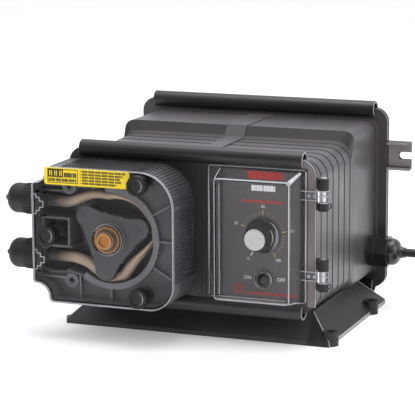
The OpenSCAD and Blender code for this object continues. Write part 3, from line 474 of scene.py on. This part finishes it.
def on_rotor(r, a):
    """(x, z) at distance r from the rotor's axis towards a degrees."""
    return ROTOR_X + r * math.cos(math.radians(a)), ROTOR_Z + r * math.sin(math.radians(a))


def tube_far(a):
    """Distance of the tube's outer side from the rotor's axis; it runs straight where the track is open."""
    middle, half = -38, 38
    off = abs(a - middle)
    straight = math.cos(math.radians(half)) / math.cos(math.radians(off)) if off < half else 1
    return (TRACK_R - 0.1) * straight


def tube_near(a):
    """Distance of the tube's inner side: thin on the right, full on the left, clear of the nearest roller."""
    if a > 45:
        thick = 2.9 + 4.2 * (a - 45) / 53
    elif a > 0:
        thick = 2.9
    elif a > -30:
        thick = 2.9 - 3.1 * a / 30
    elif a > -60:
        thick = 6 - 2.7 * (a + 30) / 30
    else:
        thick = TUBE_D - 0.8
    off = math.radians(abs((a - FIRST_ROLLER + 60) % 120 - 60))
    s = (ROLLER_D / 2 + ROLLER_GAP) ** 2 - (PIN_R * math.sin(off)) ** 2
    reach = PIN_R * math.cos(off) + math.sqrt(s) if s > 0 else 0
    return min(max(tube_far(a) - thick, reach), tube_far(a) - LEAST_TUBE)


def make_tube():
    """Pump tube, squeezed flat at the rollers, as rows of (x, z, half its thickness)."""
    full = TUBE_D / 2
    top, low = UPPER_PORT, LOWER_PORT
    first, turn, steps = 98, 220, 88
    rows = [(-118, top, full), (-112, top, full), (-107, top - 0.3, full), (-101, top - 0.4, 4.6),
            (-94.5, top + 1.4, 4.4), (-87.5, top + 4.1, 4.2), (-80.5, top + 6.8, 3.9), (-74, top + 8.1, 3.7),
            (-68, top + 8.2, 3.55)]
    for k in range(steps + 1):
        a = first - turn * k / steps
        far, near = tube_far(a), tube_near(a)
        rows.append((*on_rotor((far + near) / 2, a), (far - near) / 2))
    rows += [(-80.6, 64.9, full), (-86.5, 67.6, full), (-92.5, 69.2, full), (-99, low, full),
             (-107, low, full), (-112, low, full), (-118, low, full)]
    rows = smooth_path([Vector(r) for r in rows], 3)
    bm = bmesh.new()
    sides = 28
    rings = []
    for i, (x, z, t) in enumerate(rows):
        p, q = rows[max(i - 1, 0)], rows[min(i + 1, len(rows) - 1)]
        d = Vector((q[0] - p[0], q[1] - p[1])).normalized()
        wide = full + (full - t) * 0.5
        ring = []
        for k in range(sides):
            c, s = math.cos(2 * math.pi * k / sides), math.sin(2 * math.pi * k / sides)
            ring.append(bm.verts.new(panel(x - d.y * t * c, TUBE_Y + wide * s, z + d.x * t * c)))
        rings.append(ring)
    skin(bm, rings)
    o = add("tube_smooth", bm, "tube")
    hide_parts("pump_tube")


def head_fins():
    """Fine ridges along the head's depth, over its top, its right corners and its right side."""
    step, corner = 3.0, 30
    front, back = -43.4, -1.2
    spots = [(-98 + step * k, HEAD_Z1, 90) for k in range(24)]
    spots += [(*p, 90 - 6 * k)
              for k, p in enumerate(arc2(HEAD_X1 - corner, HEAD_Z1 - corner, corner, 90, 0, 16)[:16])]
    spots += [(HEAD_X1, HEAD_Z1 - corner - step - step * k, 0) for k in range(21)]
    bm = bmesh.new()
    for x, z, a in spots:
        a = math.radians(a)
        n = Vector((math.cos(a), math.sin(a)))
        t = Vector((-n.y, n.x))
        c = Vector((x, z))
        pts = [c + t * 0.75 - n * 0.3, c + t * 0.4 + n * 0.8, c - t * 0.4 + n * 0.8, c - t * 0.75 - n * 0.3]
        plate(bm, [tuple(p) for p in pts], front, back)
    add("head_fins", bm, "fin", smooth=False)


def head_outline(d):
    """The head's front outline, moved in by d: two round right corners, notched flanges on the left."""
    x0, x1, z0, z1 = HEAD_X0, HEAD_X1, HEAD_Z0, HEAD_Z1
    return (arc2(x1 - 22, z0 + 22, 22 - d, -90, 0, 12) + arc2(x1 - 30, z1 - 30, 30 - d, 0, 90, 12)
            + arc2(x0 + 17, z1 - 4, 4 - d, 90, 180, 5) + arc2(x0 + 3, z1 - 4, 10 + d, 0, -90, 8)
            + arc2(x0 + 3, z1 - 17, 3 - d, 90, 180, 4) + arc2(x0 + 3, z0 + 19, 3 - d, 180, 270, 4)
            + arc2(x0 + 3, z0 + 4, 12 + d, 90, 0, 8) + arc2(x0 + 19, z0 + 4, 4 - d, 180, 270, 5))


def rib_faces():
    """Painted light: lighter front faces of the track ring and the ribs."""
    bm = bmesh.new()
    ring2(bm, ROTOR_X, ROTOR_Z, TRACK_R + 0.4, TRACK_R + 5.2, RIB_FRONT, RIB_BACK, -126, 96)
    for a, r1 in ((-30, 64), (0, 58.4), (30, 64), (-90, 54.4)):
        p, q = Vector(on_rotor(TRACK_R + 5, a)), Vector(on_rotor(r1, a))
        t = Vector((p.y - q.y, q.x - p.x)).normalized() * 0.75
        plate(bm, [tuple(v) for v in (p + t, q + t, q - t, p - t)], RIB_FRONT, RIB_BACK)
    straight = ((-87.2, -85.8, 35.9, 56), (-123, -100, 52.8, 54.2), (-121.4, -95.8, 79.6, 81),
                (-121.4, -95.8, 104, 105.4), (-121.4, -120, 81, 104), (-97.2, -95.8, 81, 104))
    for x0, x1, z0, z1 in straight:
        bar(bm, (x0, RIB_FRONT, z0), (x1, RIB_BACK, z1))
    for x, z in ((-95.5, 132.2), (-94.5, 51)):
        ring2(bm, x, z, 4.6, 6.1, RIB_FRONT, RIB_BACK)
    add("head_rib_faces", bm, "rib", smooth=False)


def port_steps(z):
    """Stepped edge of the clear cover beside a port, one straight piece per step."""
    upper = [(-125, 8.6), (-121.6, 8.6), (-121.6, 5.6), (-118.4, 5.6), (-118.4, 2.6), (-115, 2.6)]
    steps = upper + [(x, -dz) for x, dz in reversed(upper)]
    pts = [(x, COVER_Y + 0.4, z + dz) for x, dz in steps]
    return [[p, q] for p, q in zip(pts, pts[1:])]


def cover_edges():
    """Painted highlights along the edges of the head's clear cover."""
    ring = head_outline(0.5)
    front = [(x, COVER_Y + 0.6, z) for x, z in ring + ring[:1]]
    back = [(x, COVER_Y + 3.0, z) for x, z in ring + ring[:1]]
    beads("head_cover_rim", [front, back], 0.38, "highlight_paint", "pump_body")
    beads("cover_port_steps", port_steps(LOWER_PORT) + port_steps(UPPER_PORT), 0.45, "highlight_paint", "pump_body",
          6)


def bush_trim():
    """Painted highlights in circles round the bush, its lit faces in a painted lighter bronze, and a painted
    shadow ring between them.
    """
    bm = bmesh.new()
    for r, y in ((7.1, COVER_Y + 0.1), (13.4, -38.6), (13.4, -44.2)):
        pts = [panel(x, y, z) for x, z in arc2(ROTOR_X, ROTOR_Z, r, -130, 150, 40)]
        sweep(bm, pts, 0.28 * MM, 6)
    add("bush_glints", bm, "highlight_paint")
    flange = (-44.45, -44.1)
    bm = bmesh.new()
    ring2(bm, ROTOR_X, ROTOR_Z, 10.2, 11.4, *flange)
    ring2(bm, ROTOR_X, ROTOR_Z, 4.9, 6.9, -51.06, -50.9)
    add("bush_faces", bm, "bronze_lit", smooth=False)
    bm = bmesh.new()
    ring2(bm, ROTOR_X, ROTOR_Z, 7.3, 10.2, *flange)
    add("bush_shadow_ring", bm, "bronze_shade", smooth=False)


def thumb_glints():
    """Painted highlight: a bright arc on the front face of each thumb screw."""
    bm = bmesh.new()
    for x, z in ((-26, 140.5), (-26, 44.5), (-109, 92.5)):
        pts = [panel(px, -55.4, pz) for px, pz in arc2(x, z, 5.4, -75, 75, 20)]
        sweep(bm, pts, swell(0.1, 0.4), 6)
    add("thumb_glints", bm, "highlight_paint")


def cap_ribs():
    """Knurl round each cap's skirt and a raised ring at the root of its dome."""
    ribs = 28
    for name, z in (("inlet_cap", LOWER_PORT), ("outlet_cap", UPPER_PORT)):
        bm = bmesh.new()
        for k in range(ribs):
            a = 2 * math.pi * k / ribs
            pts = [panel(HEAD_X0 - h, TUBE_Y + r * math.cos(a), z + r * math.sin(a))
                   for h, r in ((1.5, 13), (2.2, 13.2), (12.5, 13.2), (14, 13))]
            sweep(bm, pts, 0.36 * MM, 6)
        add(name + "_knurl", bm, "cap", name + "_body")
        bm = bmesh.new()
        pts = [panel(HEAD_X0 - 22.2, y, h) for y, h in arc2(TUBE_Y, z, 12.9, 0, 360, 45)]
        sweep(bm, pts, 0.32 * MM, 6)
        add(name + "_ring", bm, "cap", name + "_body")


make_tube()
head_fins()
cover_edges()
bush_trim()
thumb_glints()
rib_faces()
cap_ribs()


PRINT = 0.05            # thickness of printed blocks, mm


def text_blocks(bm, x0, x1, z0, z1, y, widths):
    """A line of small blocks that stands for small print."""
    letter_gap, word_gap, letters = 0.25, 0.8, 4
    x = x0
    k = 0
    while x < x1 - 0.4:
        w = widths[k % len(widths)]
        bar(bm, (x, y, z0), (min(x + w, x1), y + PRINT, z1))
        x += w + (word_gap if k % letters == letters - 1 else letter_gap)
        k += 1


SMALL = (1.3, 0.8, 1.1, 1.6, 0.9, 1.2, 0.7, 1.4)


def label_marks():
    """Generic print on the yellow label: a framed mark and five lines of small blocks."""
    y = COVER_Y - 0.34
    bm = bmesh.new()
    frame_lines = ((-109.7, -81.6, 137.6, 138.2), (-109.7, -81.6, 149.0, 149.6),
                   (-109.7, -109.1, 137.6, 149.6), (-82.2, -81.6, 137.6, 149.6))
    badge = (-109.7, -95.2, 142.4, 149.4)
    for x0, x1, z0, z1 in (*frame_lines, badge):
        bar(bm, (x0, y, z0), (x1, y + PRINT, z1))
    text_blocks(bm, -94.4, -82.8, 142.7, 146.6, y, (1.7, 1.4, 1.6))
    text_blocks(bm, -108.6, -82.8, 138.9, 141.4, y, SMALL)
    for k, x1 in enumerate((-46, -42, -43, -40.5, -38)):
        z = 137.6 + 2.5 * k
        bar(bm, (-79.8, y, z + 0.3), (-78.9, y + PRINT, z + 1.3))
        text_blocks(bm, -77.8, x1, z, z + 1.8, y, SMALL[k:] + SMALL[:k])
    add("label_print", bm, "ink", smooth=False)
    bm = bmesh.new()
    for x in (-108.0, -103.4, -98.8):
        for u in (0, 1.6):
            bar(bm, (x + u, y - PRINT, 143.7), (x + u + 0.8, y, 148.2))
    add("label_print_light", bm, "yellow", smooth=False)


label_marks()


# ---- dial plate, knob, switch ----

KNOB_X, KNOB_Z = 66.2, 95.0
SWITCH_X, SWITCH_Z = 66.8, 57.4
PLATE_Y = -0.84


def on_knob(r, a, across=0.0):
    """(x, z) at distance r from the knob's axis towards a degrees, moved sideways by across."""
    n = Vector((math.cos(math.radians(a)), math.sin(math.radians(a))))
    return tuple(Vector((KNOB_X, KNOB_Z)) + n * r + Vector((-n.y, n.x)) * across)


def mark(bm, a, r0, r1, half, y0, y1):
    """Flat radial line about the knob's axis."""
    plate(bm, [on_knob(r, a, w) for r, w in ((r0, -half), (r1, -half), (r1, half), (r0, half))], y0, y1)


def ticks(name, key, angles, r0, r1, half):
    """Printed ticks of the dial at the given angles."""
    bm = bmesh.new()
    for a in angles:
        mark(bm, a, r0, r1, half, PLATE_Y - 0.02, PLATE_Y + 0.02)
    add(name, bm, key, smooth=False)


def dial_marks():
    """Dial numbers and ticks, ON and OFF, and blocks where the plate's other print would be."""
    y = PLATE_Y
    zero, quarter = 239, 159
    majors = (quarter, 90, 12, -58)
    ticks("dial_zero_tick", "white", (zero,), 17.4, 21.0, 0.45)
    ticks("dial_major_ticks", "gold", majors, 17.2, 21.2, 0.42)
    ticks("dial_minor_ticks", "gold", [quarter - 217 * k / 22 for k in range(1, 22) if k not in (7, 15)],
          17.6, 19.6, 0.22)
    for text, a in zip(("0", "25", "50", "75", "100"), (zero, *majors)):
        r = math.radians(a)
        word("dial_" + text, text, KNOB_X + 25.4 * math.cos(r), y, KNOB_Z + 24.4 * math.sin(r), 3.4, "white")
    word("switch_on", "ON", 52.5, y, 57.6, 4.4, "white")
    word("switch_off", "OFF", 82.5, y, 57.6, 4.4, "white")
    bm = bmesh.new()
    text_blocks(bm, 52.5, 83.5, 141.2, 148.2, y, (3.4, 2.6, 3.8, 3.0, 3.2))
    text_blocks(bm, 48, 85, 122.4, 124.6, y, SMALL)
    text_blocks(bm, 52, 96, 43.4, 45.6, y, SMALL)
    ring2(bm, 44.2, 47.4, 3.3, 4.4, y, y + PRINT)
    for x in (42.6, 45.2):
        bar(bm, (x, y, 45.6), (x + 0.9, y + PRINT, 49.4))
    add("plate_print_red", bm, "red", smooth=False)
    bm = bmesh.new()
    text_blocks(bm, 56, 78, 132.6, 137.4, y, (3.0, 1.4, 2.4, 2.4, 2.4, 2.8))
    add("plate_print_white", bm, "white", smooth=False)


def knob_details():
    """Flutes, painted highlights as bright arcs, and the rings and white index line on the knob's metal disc.
    """
    flutes = 24
    bm = bmesh.new()
    for k in range(flutes):
        pts = []
        for r, y in ((12.3, -6.4), (11.8, -9), (11.0, -14.6), (10.2, -19), (9.9, -20)):
            x, z = on_knob(r, 360 * k / flutes)
            pts.append(panel(x, y, z))
        sweep(bm, pts, 0.55 * MM, 8)
    add("knob_flutes", bm, "knob", "speed_knob")
    bm = bmesh.new()
    for r, y, a0, a1 in ((13.4, -5.2, -50, 25), (12.2, -10.5, -30, 35), (14.6, -4.3, -60, 60)):
        pts = [panel(x, y, z) for x, z in arc2(KNOB_X, KNOB_Z, r, a0, a1, 18)]
        sweep(bm, pts, swell(0.1, 0.34), 6)
    add("knob_glints", bm, "highlight_paint", "speed_knob")
    bm = bmesh.new()
    for r in (3.0, 5.2, 7.4):
        ring2(bm, KNOB_X, KNOB_Z, r, r + 0.28, -21.56, -21.4)
    add("knob_disc_rings", bm, "disc_dark", "speed_knob", smooth=False)
    bm = bmesh.new()
    mark(bm, 24, -8.4, 8.4, 0.45, -21.3, -21.1)
    add("knob_index", bm, "white", "speed_knob", smooth=False)


dial_marks()
knob_details()


# ---- clear control cover: painted highlights on its edges ----

def painted_highlight(name, lines, r, sides=8):
    """Painted highlight along an edge; it rides on the clear control cover."""
    return beads(name, lines, r, "highlight_paint", "clear_cover", sides)


def box_edges():
    """Painted highlights along the edges of the cover's box and of the flange round it."""
    x0, x1, z0, z1 = 31.6, 98.3, 42.4, 146.2
    front, inside, back, flange = -27 + 0.7, -24.6, -2.8, -1.5
    loop = [(x, front, z) for x, z in round_box(x0 + 0.6, x1 - 0.6, z0 + 0.6, z1 - 0.6, 2.4)]
    painted_highlight("clear_box_front_edge", [loop + loop[:1]], 0.34)
    painted_highlight("clear_box_front_sides", [
        [(x1 - 0.6, front, z0 + 3), (x1 - 0.6, front, z1 - 3)],
        [(x0 + 4, front, z1 - 0.6), (x1 - 3, front, z1 - 0.6)],
        [(x0 + 4, front, z0 + 0.6), (x1 - 3, front, z0 + 0.6)]], 0.6)
    painted_highlight("clear_box_inner_edges", [
        [(x0 + 4.4, inside, z0 + 5), (x0 + 4.4, inside, z1 - 5)],
        [(x0 + 4, inside, z0 + 3.4), (x1 - 4, inside, z0 + 3.4)]], 0.26, 6)
    painted_highlight("clear_box_corner_edges", [
        [(x0 + 1, front, z1 - 1), (28.8, back, 149.8)],
        [(x0 + 1, front, z0 + 1), (28.8, back, 40.2)],
        [(x1 - 1, front, z0 + 1), (99.6, back, 40.2)]], 0.35)
    bm = bmesh.new()
    sweep(bm, [panel(x1 - 1.2, front, z1 - 1.2), panel(99.4, back, 149.6)],
          lambda t: (2.0 - 0.8 * t) * MM, 12)
    add("clear_box_corner_glint", bm, "highlight_paint", "clear_cover")
    painted_highlight("clear_flange_right_edge", [[(104.2, flange, 40.4), (104.2, flange, 151.4)]], 0.5)
    bm = bmesh.new()
    sweep(bm, [panel(18, flange - 0.1, z) for z in range(60, 146, 5)], swell(0.3, 0.55), 8)
    add("clear_flange_left_glint", bm, "highlight_paint", "clear_cover")
    painted_highlight("clear_flange_edge", [[(x, flange, z) for x, z in (
        (103.4, 39.3), (19, 39.3), (18, 40.4), (18, 151), (19, 152.3), (103.4, 152.3))]], 0.28)


def hinge_details():
    """At each hinge: painted highlights along the edges of the clear arm and knuckle, two small clear pins
    drawn in the painted highlight colour, two pads and a hook.
    """
    for i, z in enumerate((131.5, 63.2), 1):
        arm = [[(100, -2.4, z + s * 3.7), (116, -2.4, z + s * 3.7)] for s in (-1, 1)]
        knuckle = [[(*p, z + h) for p in arc2(119.6, -1.5, 4.2, -180, 60, 12)] for h in (-4.9, 0.4, 4.9)]
        painted_highlight("hinge_arm_edges_%d" % i, arm + knuckle, 0.34)
        bm = bmesh.new()
        for x in (107.2, 112.4):
            ring2(bm, x, z, 0.5, 1.3, -3.0, -2.5, n=20)
        add("hinge_arm_pins_%d" % i, bm, "highlight_paint", "clear_cover", smooth=False)
        bm = bmesh.new()
        for dz in (-8.6, 5.0):
            bar(bm, (100.6, -0.35, z + dz), (104.4, 0.05, z + dz + 3.8))
        add("hinge_pads_%d" % i, bm, "gloss", smooth=False)
        bm = bmesh.new()
        sweep(bm, [panel(x, 0.8, h) for x, h in arc2(123.6, z - 8, 2.2, 120, -120, 12)], 0.5 * MM, 8)
        add("hinge_hook_%d" % i, bm, "gloss")


def switch_rings():
    """Painted highlights: light grey edges of the switch's ring and the bright arcs on it."""
    y = -2.9
    bm = bmesh.new()
    for r in (7.7, 5.9):
        pts = [panel(x, y, z) for x, z in arc2(SWITCH_X, SWITCH_Z, r, 0, 355, 48)]
        sweep(bm, pts + pts[:1], 0.28 * MM, 6)
    add("switch_ring_edges", bm, "ring")
    bm = bmesh.new()
    for a0, a1, w in ((-45, 65, 0.45), (185, 265, 0.25)):
        pts = [panel(x, y - 0.1, z) for x, z in arc2(SWITCH_X, SWITCH_Z, 7.6, a0, a1, 20)]
        sweep(bm, pts, swell(0.1, w), 6)
    add("switch_glints", bm, "highlight_paint")


PANEL_CORNER = (97.6, 146.5)


def lit_strip():
    """Painted light: a lighter strip along the panel's right side."""
    bm = bmesh.new()
    outer = [(111.7, 36)] + arc2(*PANEL_CORNER, 14.1, 0, 78, 10)
    plate(bm, outer + [(100.5, 153.6), (105.4, 153.6), (105.4, 36)], -0.25, 0.05)
    add("panel_side_strip", bm, "side_lit_paint", smooth=False)


def foot_edges():
    """Painted highlights: rods down the foot's four corners, and the painted lit face of its right lip."""
    corners = [[(s * 121.8, y, 0.6), (s * 121.8, y, 4), (s * 101, y + d, 24.8)] for s in (-1, 1)
               for y, d in ((9.2, 20.8), (173.8, -20.8))]
    beads("foot_corner_edges", corners, 0.35, "highlight_paint", "pump_body")
    bm = bmesh.new()
    bar(bm, (121.9, 14, 0.8), (122.08, 170, 3.2))
    add("foot_lip_face", bm, "lit_paint", smooth=False)


def ear_face():
    """Painted light: the lit front face of the rear cover's ear round its slot, and of the webs above and
    below it.
    """
    bm = bmesh.new()
    round_slot = ((120.4, 130, 125.8, 146.2), (130, 141.2, 125.8, 132.5), (130, 141.2, 139.5, 146.2))
    for x0, x1, z0, z1 in round_slot:
        bar(bm, (x0, 185.55, z0), (x1, 185.9, z1))
    for z0, z1 in ((123.3, 125.6), (146.4, 148.7)):
        bar(bm, (120.4, 179.6, z0), (141.3, 179.9, z1))
    add("ear_face", bm, "lit_paint", smooth=False)


def panel_rim():
    """Painted highlight: a bright rod along the panel's right edge and upper right corner."""
    y = 0.35
    side = [(112.1, z) for z in (36, 90, 146.5)]
    line = [(x, y, z) for x, z in side + arc2(*PANEL_CORNER, 14.5, 6, 78, 10)]
    beads("panel_rim", [line], 0.38, "highlight_paint", "pump_body")


RAILS = (("front_top_rail", 101, 3.5, 159.5, 1), ("front_bottom_rail", 101, 3.5, 30.8, -1),
         ("rear_top_rail", 107.5, 185.5, 177.2, 1), ("rear_bottom_rail", 107.5, 185.5, 13.8, -1))
LOWER_ROOF, UPPER_ROOF = (109.1, 157.3, 16), (109.5, 167.2, 9)


def rail_rims():
    """Painted light: lighter cut ends of the four clamp rails."""
    for name, x, y, z, up in RAILS:
        bm = bmesh.new()
        for s in (-1, 1):
            pts = [panel(s * x, y + dy, z + up * dz) for dy, dz in arc2(0, 0, 6.6, -50, 230, 32)]
            sweep(bm, pts, 0.55 * MM, 8)
        add(name + "_rims", bm, "lit_paint")


def riser_skin():
    """Painted shade: a darker face of the step in the case's roof, between its (half width, top, corner
    radius) outlines.
    """
    out = 0.22
    edges = [(half - r, top - r, r + out, y)
             for (half, top, r), y in ((LOWER_ROOF, 108.3), (UPPER_ROOF, 115.9))]
    bm = bmesh.new()
    rows = []
    for s, angles in ((1, range(10, 91, 5)), (-1, range(90, 9, -5))):
        for a in angles:
            a = math.radians(a)
            rows.append([bm.verts.new(panel(s * (x + r * math.cos(a)), y - out, z + r * math.sin(a)))
                         for x, z, r, y in edges])
    for a, b in zip(rows, rows[1:]):
        bm.faces.new((a[0], b[0], b[1], a[1]))
    add("case_step_face", bm, "step_shade")


hinge_details()
rail_rims()
riser_skin()
switch_rings()
lit_strip()
foot_edges()
ear_face()
panel_rim()
box_edges()


# ---- cord, coil, tie and plug ----

CORD_D = 7.6
COIL = Vector((226.0, 44.0, 0.0))
ROUTE = [(144, 86.5, 51.5), (152, 86.5, 51.5), (159, 86.6, 50.8), (165.5, 86.8, 48.6), (171.5, 87.1, 45.2),
         (176.5, 87.4, 40.6), (180.5, 87.7, 35), (183.5, 88, 28.3), (186.5, 88.3, 21.6), (190.5, 88.6, 16),
         (195.5, 88.9, 11.4), (201.5, 89.3, 8), (208, 89.6, 5.8), (215, 89.8, 5), (226, 89.8, 5)]
PLUG_ROUTE = [(236.5, 84.5, 28), (246, 80.5, 29), (254, 75, 30.5), (260.5, 67.5, 32), (265, 59, 33.4),
              (267.5, 50.5, 34), (268, 44, 34)]


def plug_shape():
    """Moulded plug with a waisted grip and a ribbed strain relief; the lead enters at its back."""
    at = Vector(PLUG_ROUTE[-1])
    bm = bmesh.new()
    rows = [(0.0, 5.2, 5.2, 2.0), (-1.5, 6.2, 6.0, 2.0), (-6, 7.4, 7.0, 2.2), (-10, 9.4, 8.4, 2.6),
            (-14, 10.4, 9.0, 3.0), (-19, 10.0, 8.8, 3.2), (-24, 11.2, 9.6, 3.6), (-27.5, 12.0, 10.0, 4.0),
            (-29.4, 12.0, 10.0, 4.0), (-30, 11.4, 9.4, 4.0)]
    rings = []
    n = 48
    for y, hx, hz, power in rows:
        ring = []
        for k in range(n):
            a = 2 * math.pi * k / n
            c, s = math.cos(a), math.sin(a)
            ring.append(bm.verts.new((at + Vector((math.copysign(abs(c) ** (2 / power), c) * hx, y,
                                                   math.copysign(abs(s) ** (2 / power), s) * hz))) * MM))
        rings.append(ring)
    skin(bm, rings)
    o = add("plug_moulding", bm, "cord")
    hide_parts("plug_body")
    return o


def strain_relief():
    """Ribbed sleeve on the last part of the lead."""
    tail = smooth_path([Vector(p) * MM for p in PLUG_ROUTE[3:]], 8)
    bm = bmesh.new()
    total = len(tail)
    thin, taper, rib = 4.3, 0.9, 0.5
    sweep(bm, tail, lambda t: (thin + taper * t + (rib if int(t * total) % 4 < 2 else 0)) * MM, 20)
    return add("plug_relief", bm, "cord")


plug = plug_shape()
relief = strain_relief()


def coil_points():
    """Six turns: three layers, each an outer and an inner turn, wound clockwise from the cord's end."""
    pts = []
    layers = [(45.8, 38.2), (38.2, 45.8), (45.8, 38.2)]
    steps, first_angle, change_from = 24, 90.0, 0.75
    for k, (r0, r1) in enumerate(layers):
        z = ROUTE[-1][2] + CORD_D * k
        for turn, r in enumerate((r0, r1)):
            nxt_r = r1 if turn == 0 else r
            nxt_z = z if turn == 0 else z + CORD_D
            for s in range(steps):
                t = s / steps
                blend = max(0.0, (t - change_from) / (1 - change_from))
                blend = blend * blend * (3 - 2 * blend)
                last = k == len(layers) - 1 and turn == 1
                rr = r + (nxt_r - r) * blend
                zz = z + (0 if last else (nxt_z - z) * blend)
                a = math.radians(first_angle - 360 * t)
                pts.append((COIL.x + rr * math.cos(a), COIL.y + rr * math.sin(a), zz))
    return pts


def make_cord():
    """The whole lead in one piece: from the gland to the floor, round the coil and up to the plug."""
    pts = [Vector(p) * MM for p in ROUTE[:-1]] + [Vector(p) * MM for p in coil_points()]
    pts += [Vector(p) * MM for p in PLUG_ROUTE]
    pts = smooth_path(pts, 3)
    bm = bmesh.new()
    sweep(bm, pts, CORD_D / 2 * MM, 14)
    o = add("cord_lead", bm, "cord")
    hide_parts("power_cord", "cord_coil", "plug_lead")
    length = sum((b - a).length for a, b in zip(pts, pts[1:]))
    return o, pts, length


cord, cord_path, cord_length = make_cord()
print("cord length", round(cord_length, 4))


# ---- floor, light ----

def make_stage():
    """White floor, a sky that is bright on one side, and three large soft lamps."""
    bm = bmesh.new()
    bmesh.ops.create_grid(bm, x_segments=1, y_segments=1, size=6.0)
    me = bpy.data.meshes.new("floor")
    bm.to_mesh(me)
    bm.free()
    floor = bpy.data.objects.new("floor", me)
    bpy.context.scene.collection.objects.link(floor)
    m, nt, p = new_material("floor_white")
    col = mix_colour(nt, spread(nt, noise(nt, 3.0), 0, 1), (0.86, 0.86, 0.86), (0.9, 0.9, 0.9))
    nt.links.new(col, p.inputs["Base Color"])
    nt.links.new(col, p.inputs["Emission Color"])
    p.inputs["Emission Strength"].default_value = 0.25
    p.inputs["Roughness"].default_value = 0.7
    me.materials.append(m)
    world = bpy.data.worlds.new("studio")
    bpy.context.scene.world = world
    world.use_nodes = True
    nt = world.node_tree
    bg = nt.nodes["Background"]
    bright_side = Vector((0.35, 0.6, 0.7)).normalized()
    co = nt.nodes.new("ShaderNodeTexCoord")
    dot = nt.nodes.new("ShaderNodeVectorMath")
    dot.operation = "DOT_PRODUCT"
    dot.inputs[1].default_value = bright_side
    nt.links.new(co.outputs["Generated"], dot.inputs[0])
    nt.links.new(mix_colour(nt, spread(nt, dot.outputs["Value"], 0, 1, -0.35, 0.35), (0.1, 0.1, 0.105),
                            (0.95, 0.96, 1.0)), bg.inputs[0])
    bg.inputs[1].default_value = 1.0

    def area(name, at, to, size, power):
        light = bpy.data.lights.new(name, "AREA")
        light.shape = "RECTANGLE"
        light.size, light.size_y = size
        light.energy = power
        o = bpy.data.objects.new(name, light)
        bpy.context.scene.collection.objects.link(o)
        o.location = at
        o.rotation_euler = (Vector(to) - Vector(at)).to_track_quat("-Z", "Y").to_euler()

    area("top_light", (0.1, 0.15, 1.3), (0, 0.05, 0.1), (1.2, 1.2), 14)
    area("left_light", (-1.3, -0.9, 0.9), (0, 0, 0.1), (0.9, 1.2), 4)
    area("right_light", (1.6, -0.2, 0.8), (0.1, 0, 0.1), (0.9, 1.2), 8)
    bpy.context.scene.view_settings.view_transform = "Standard"


make_stage()
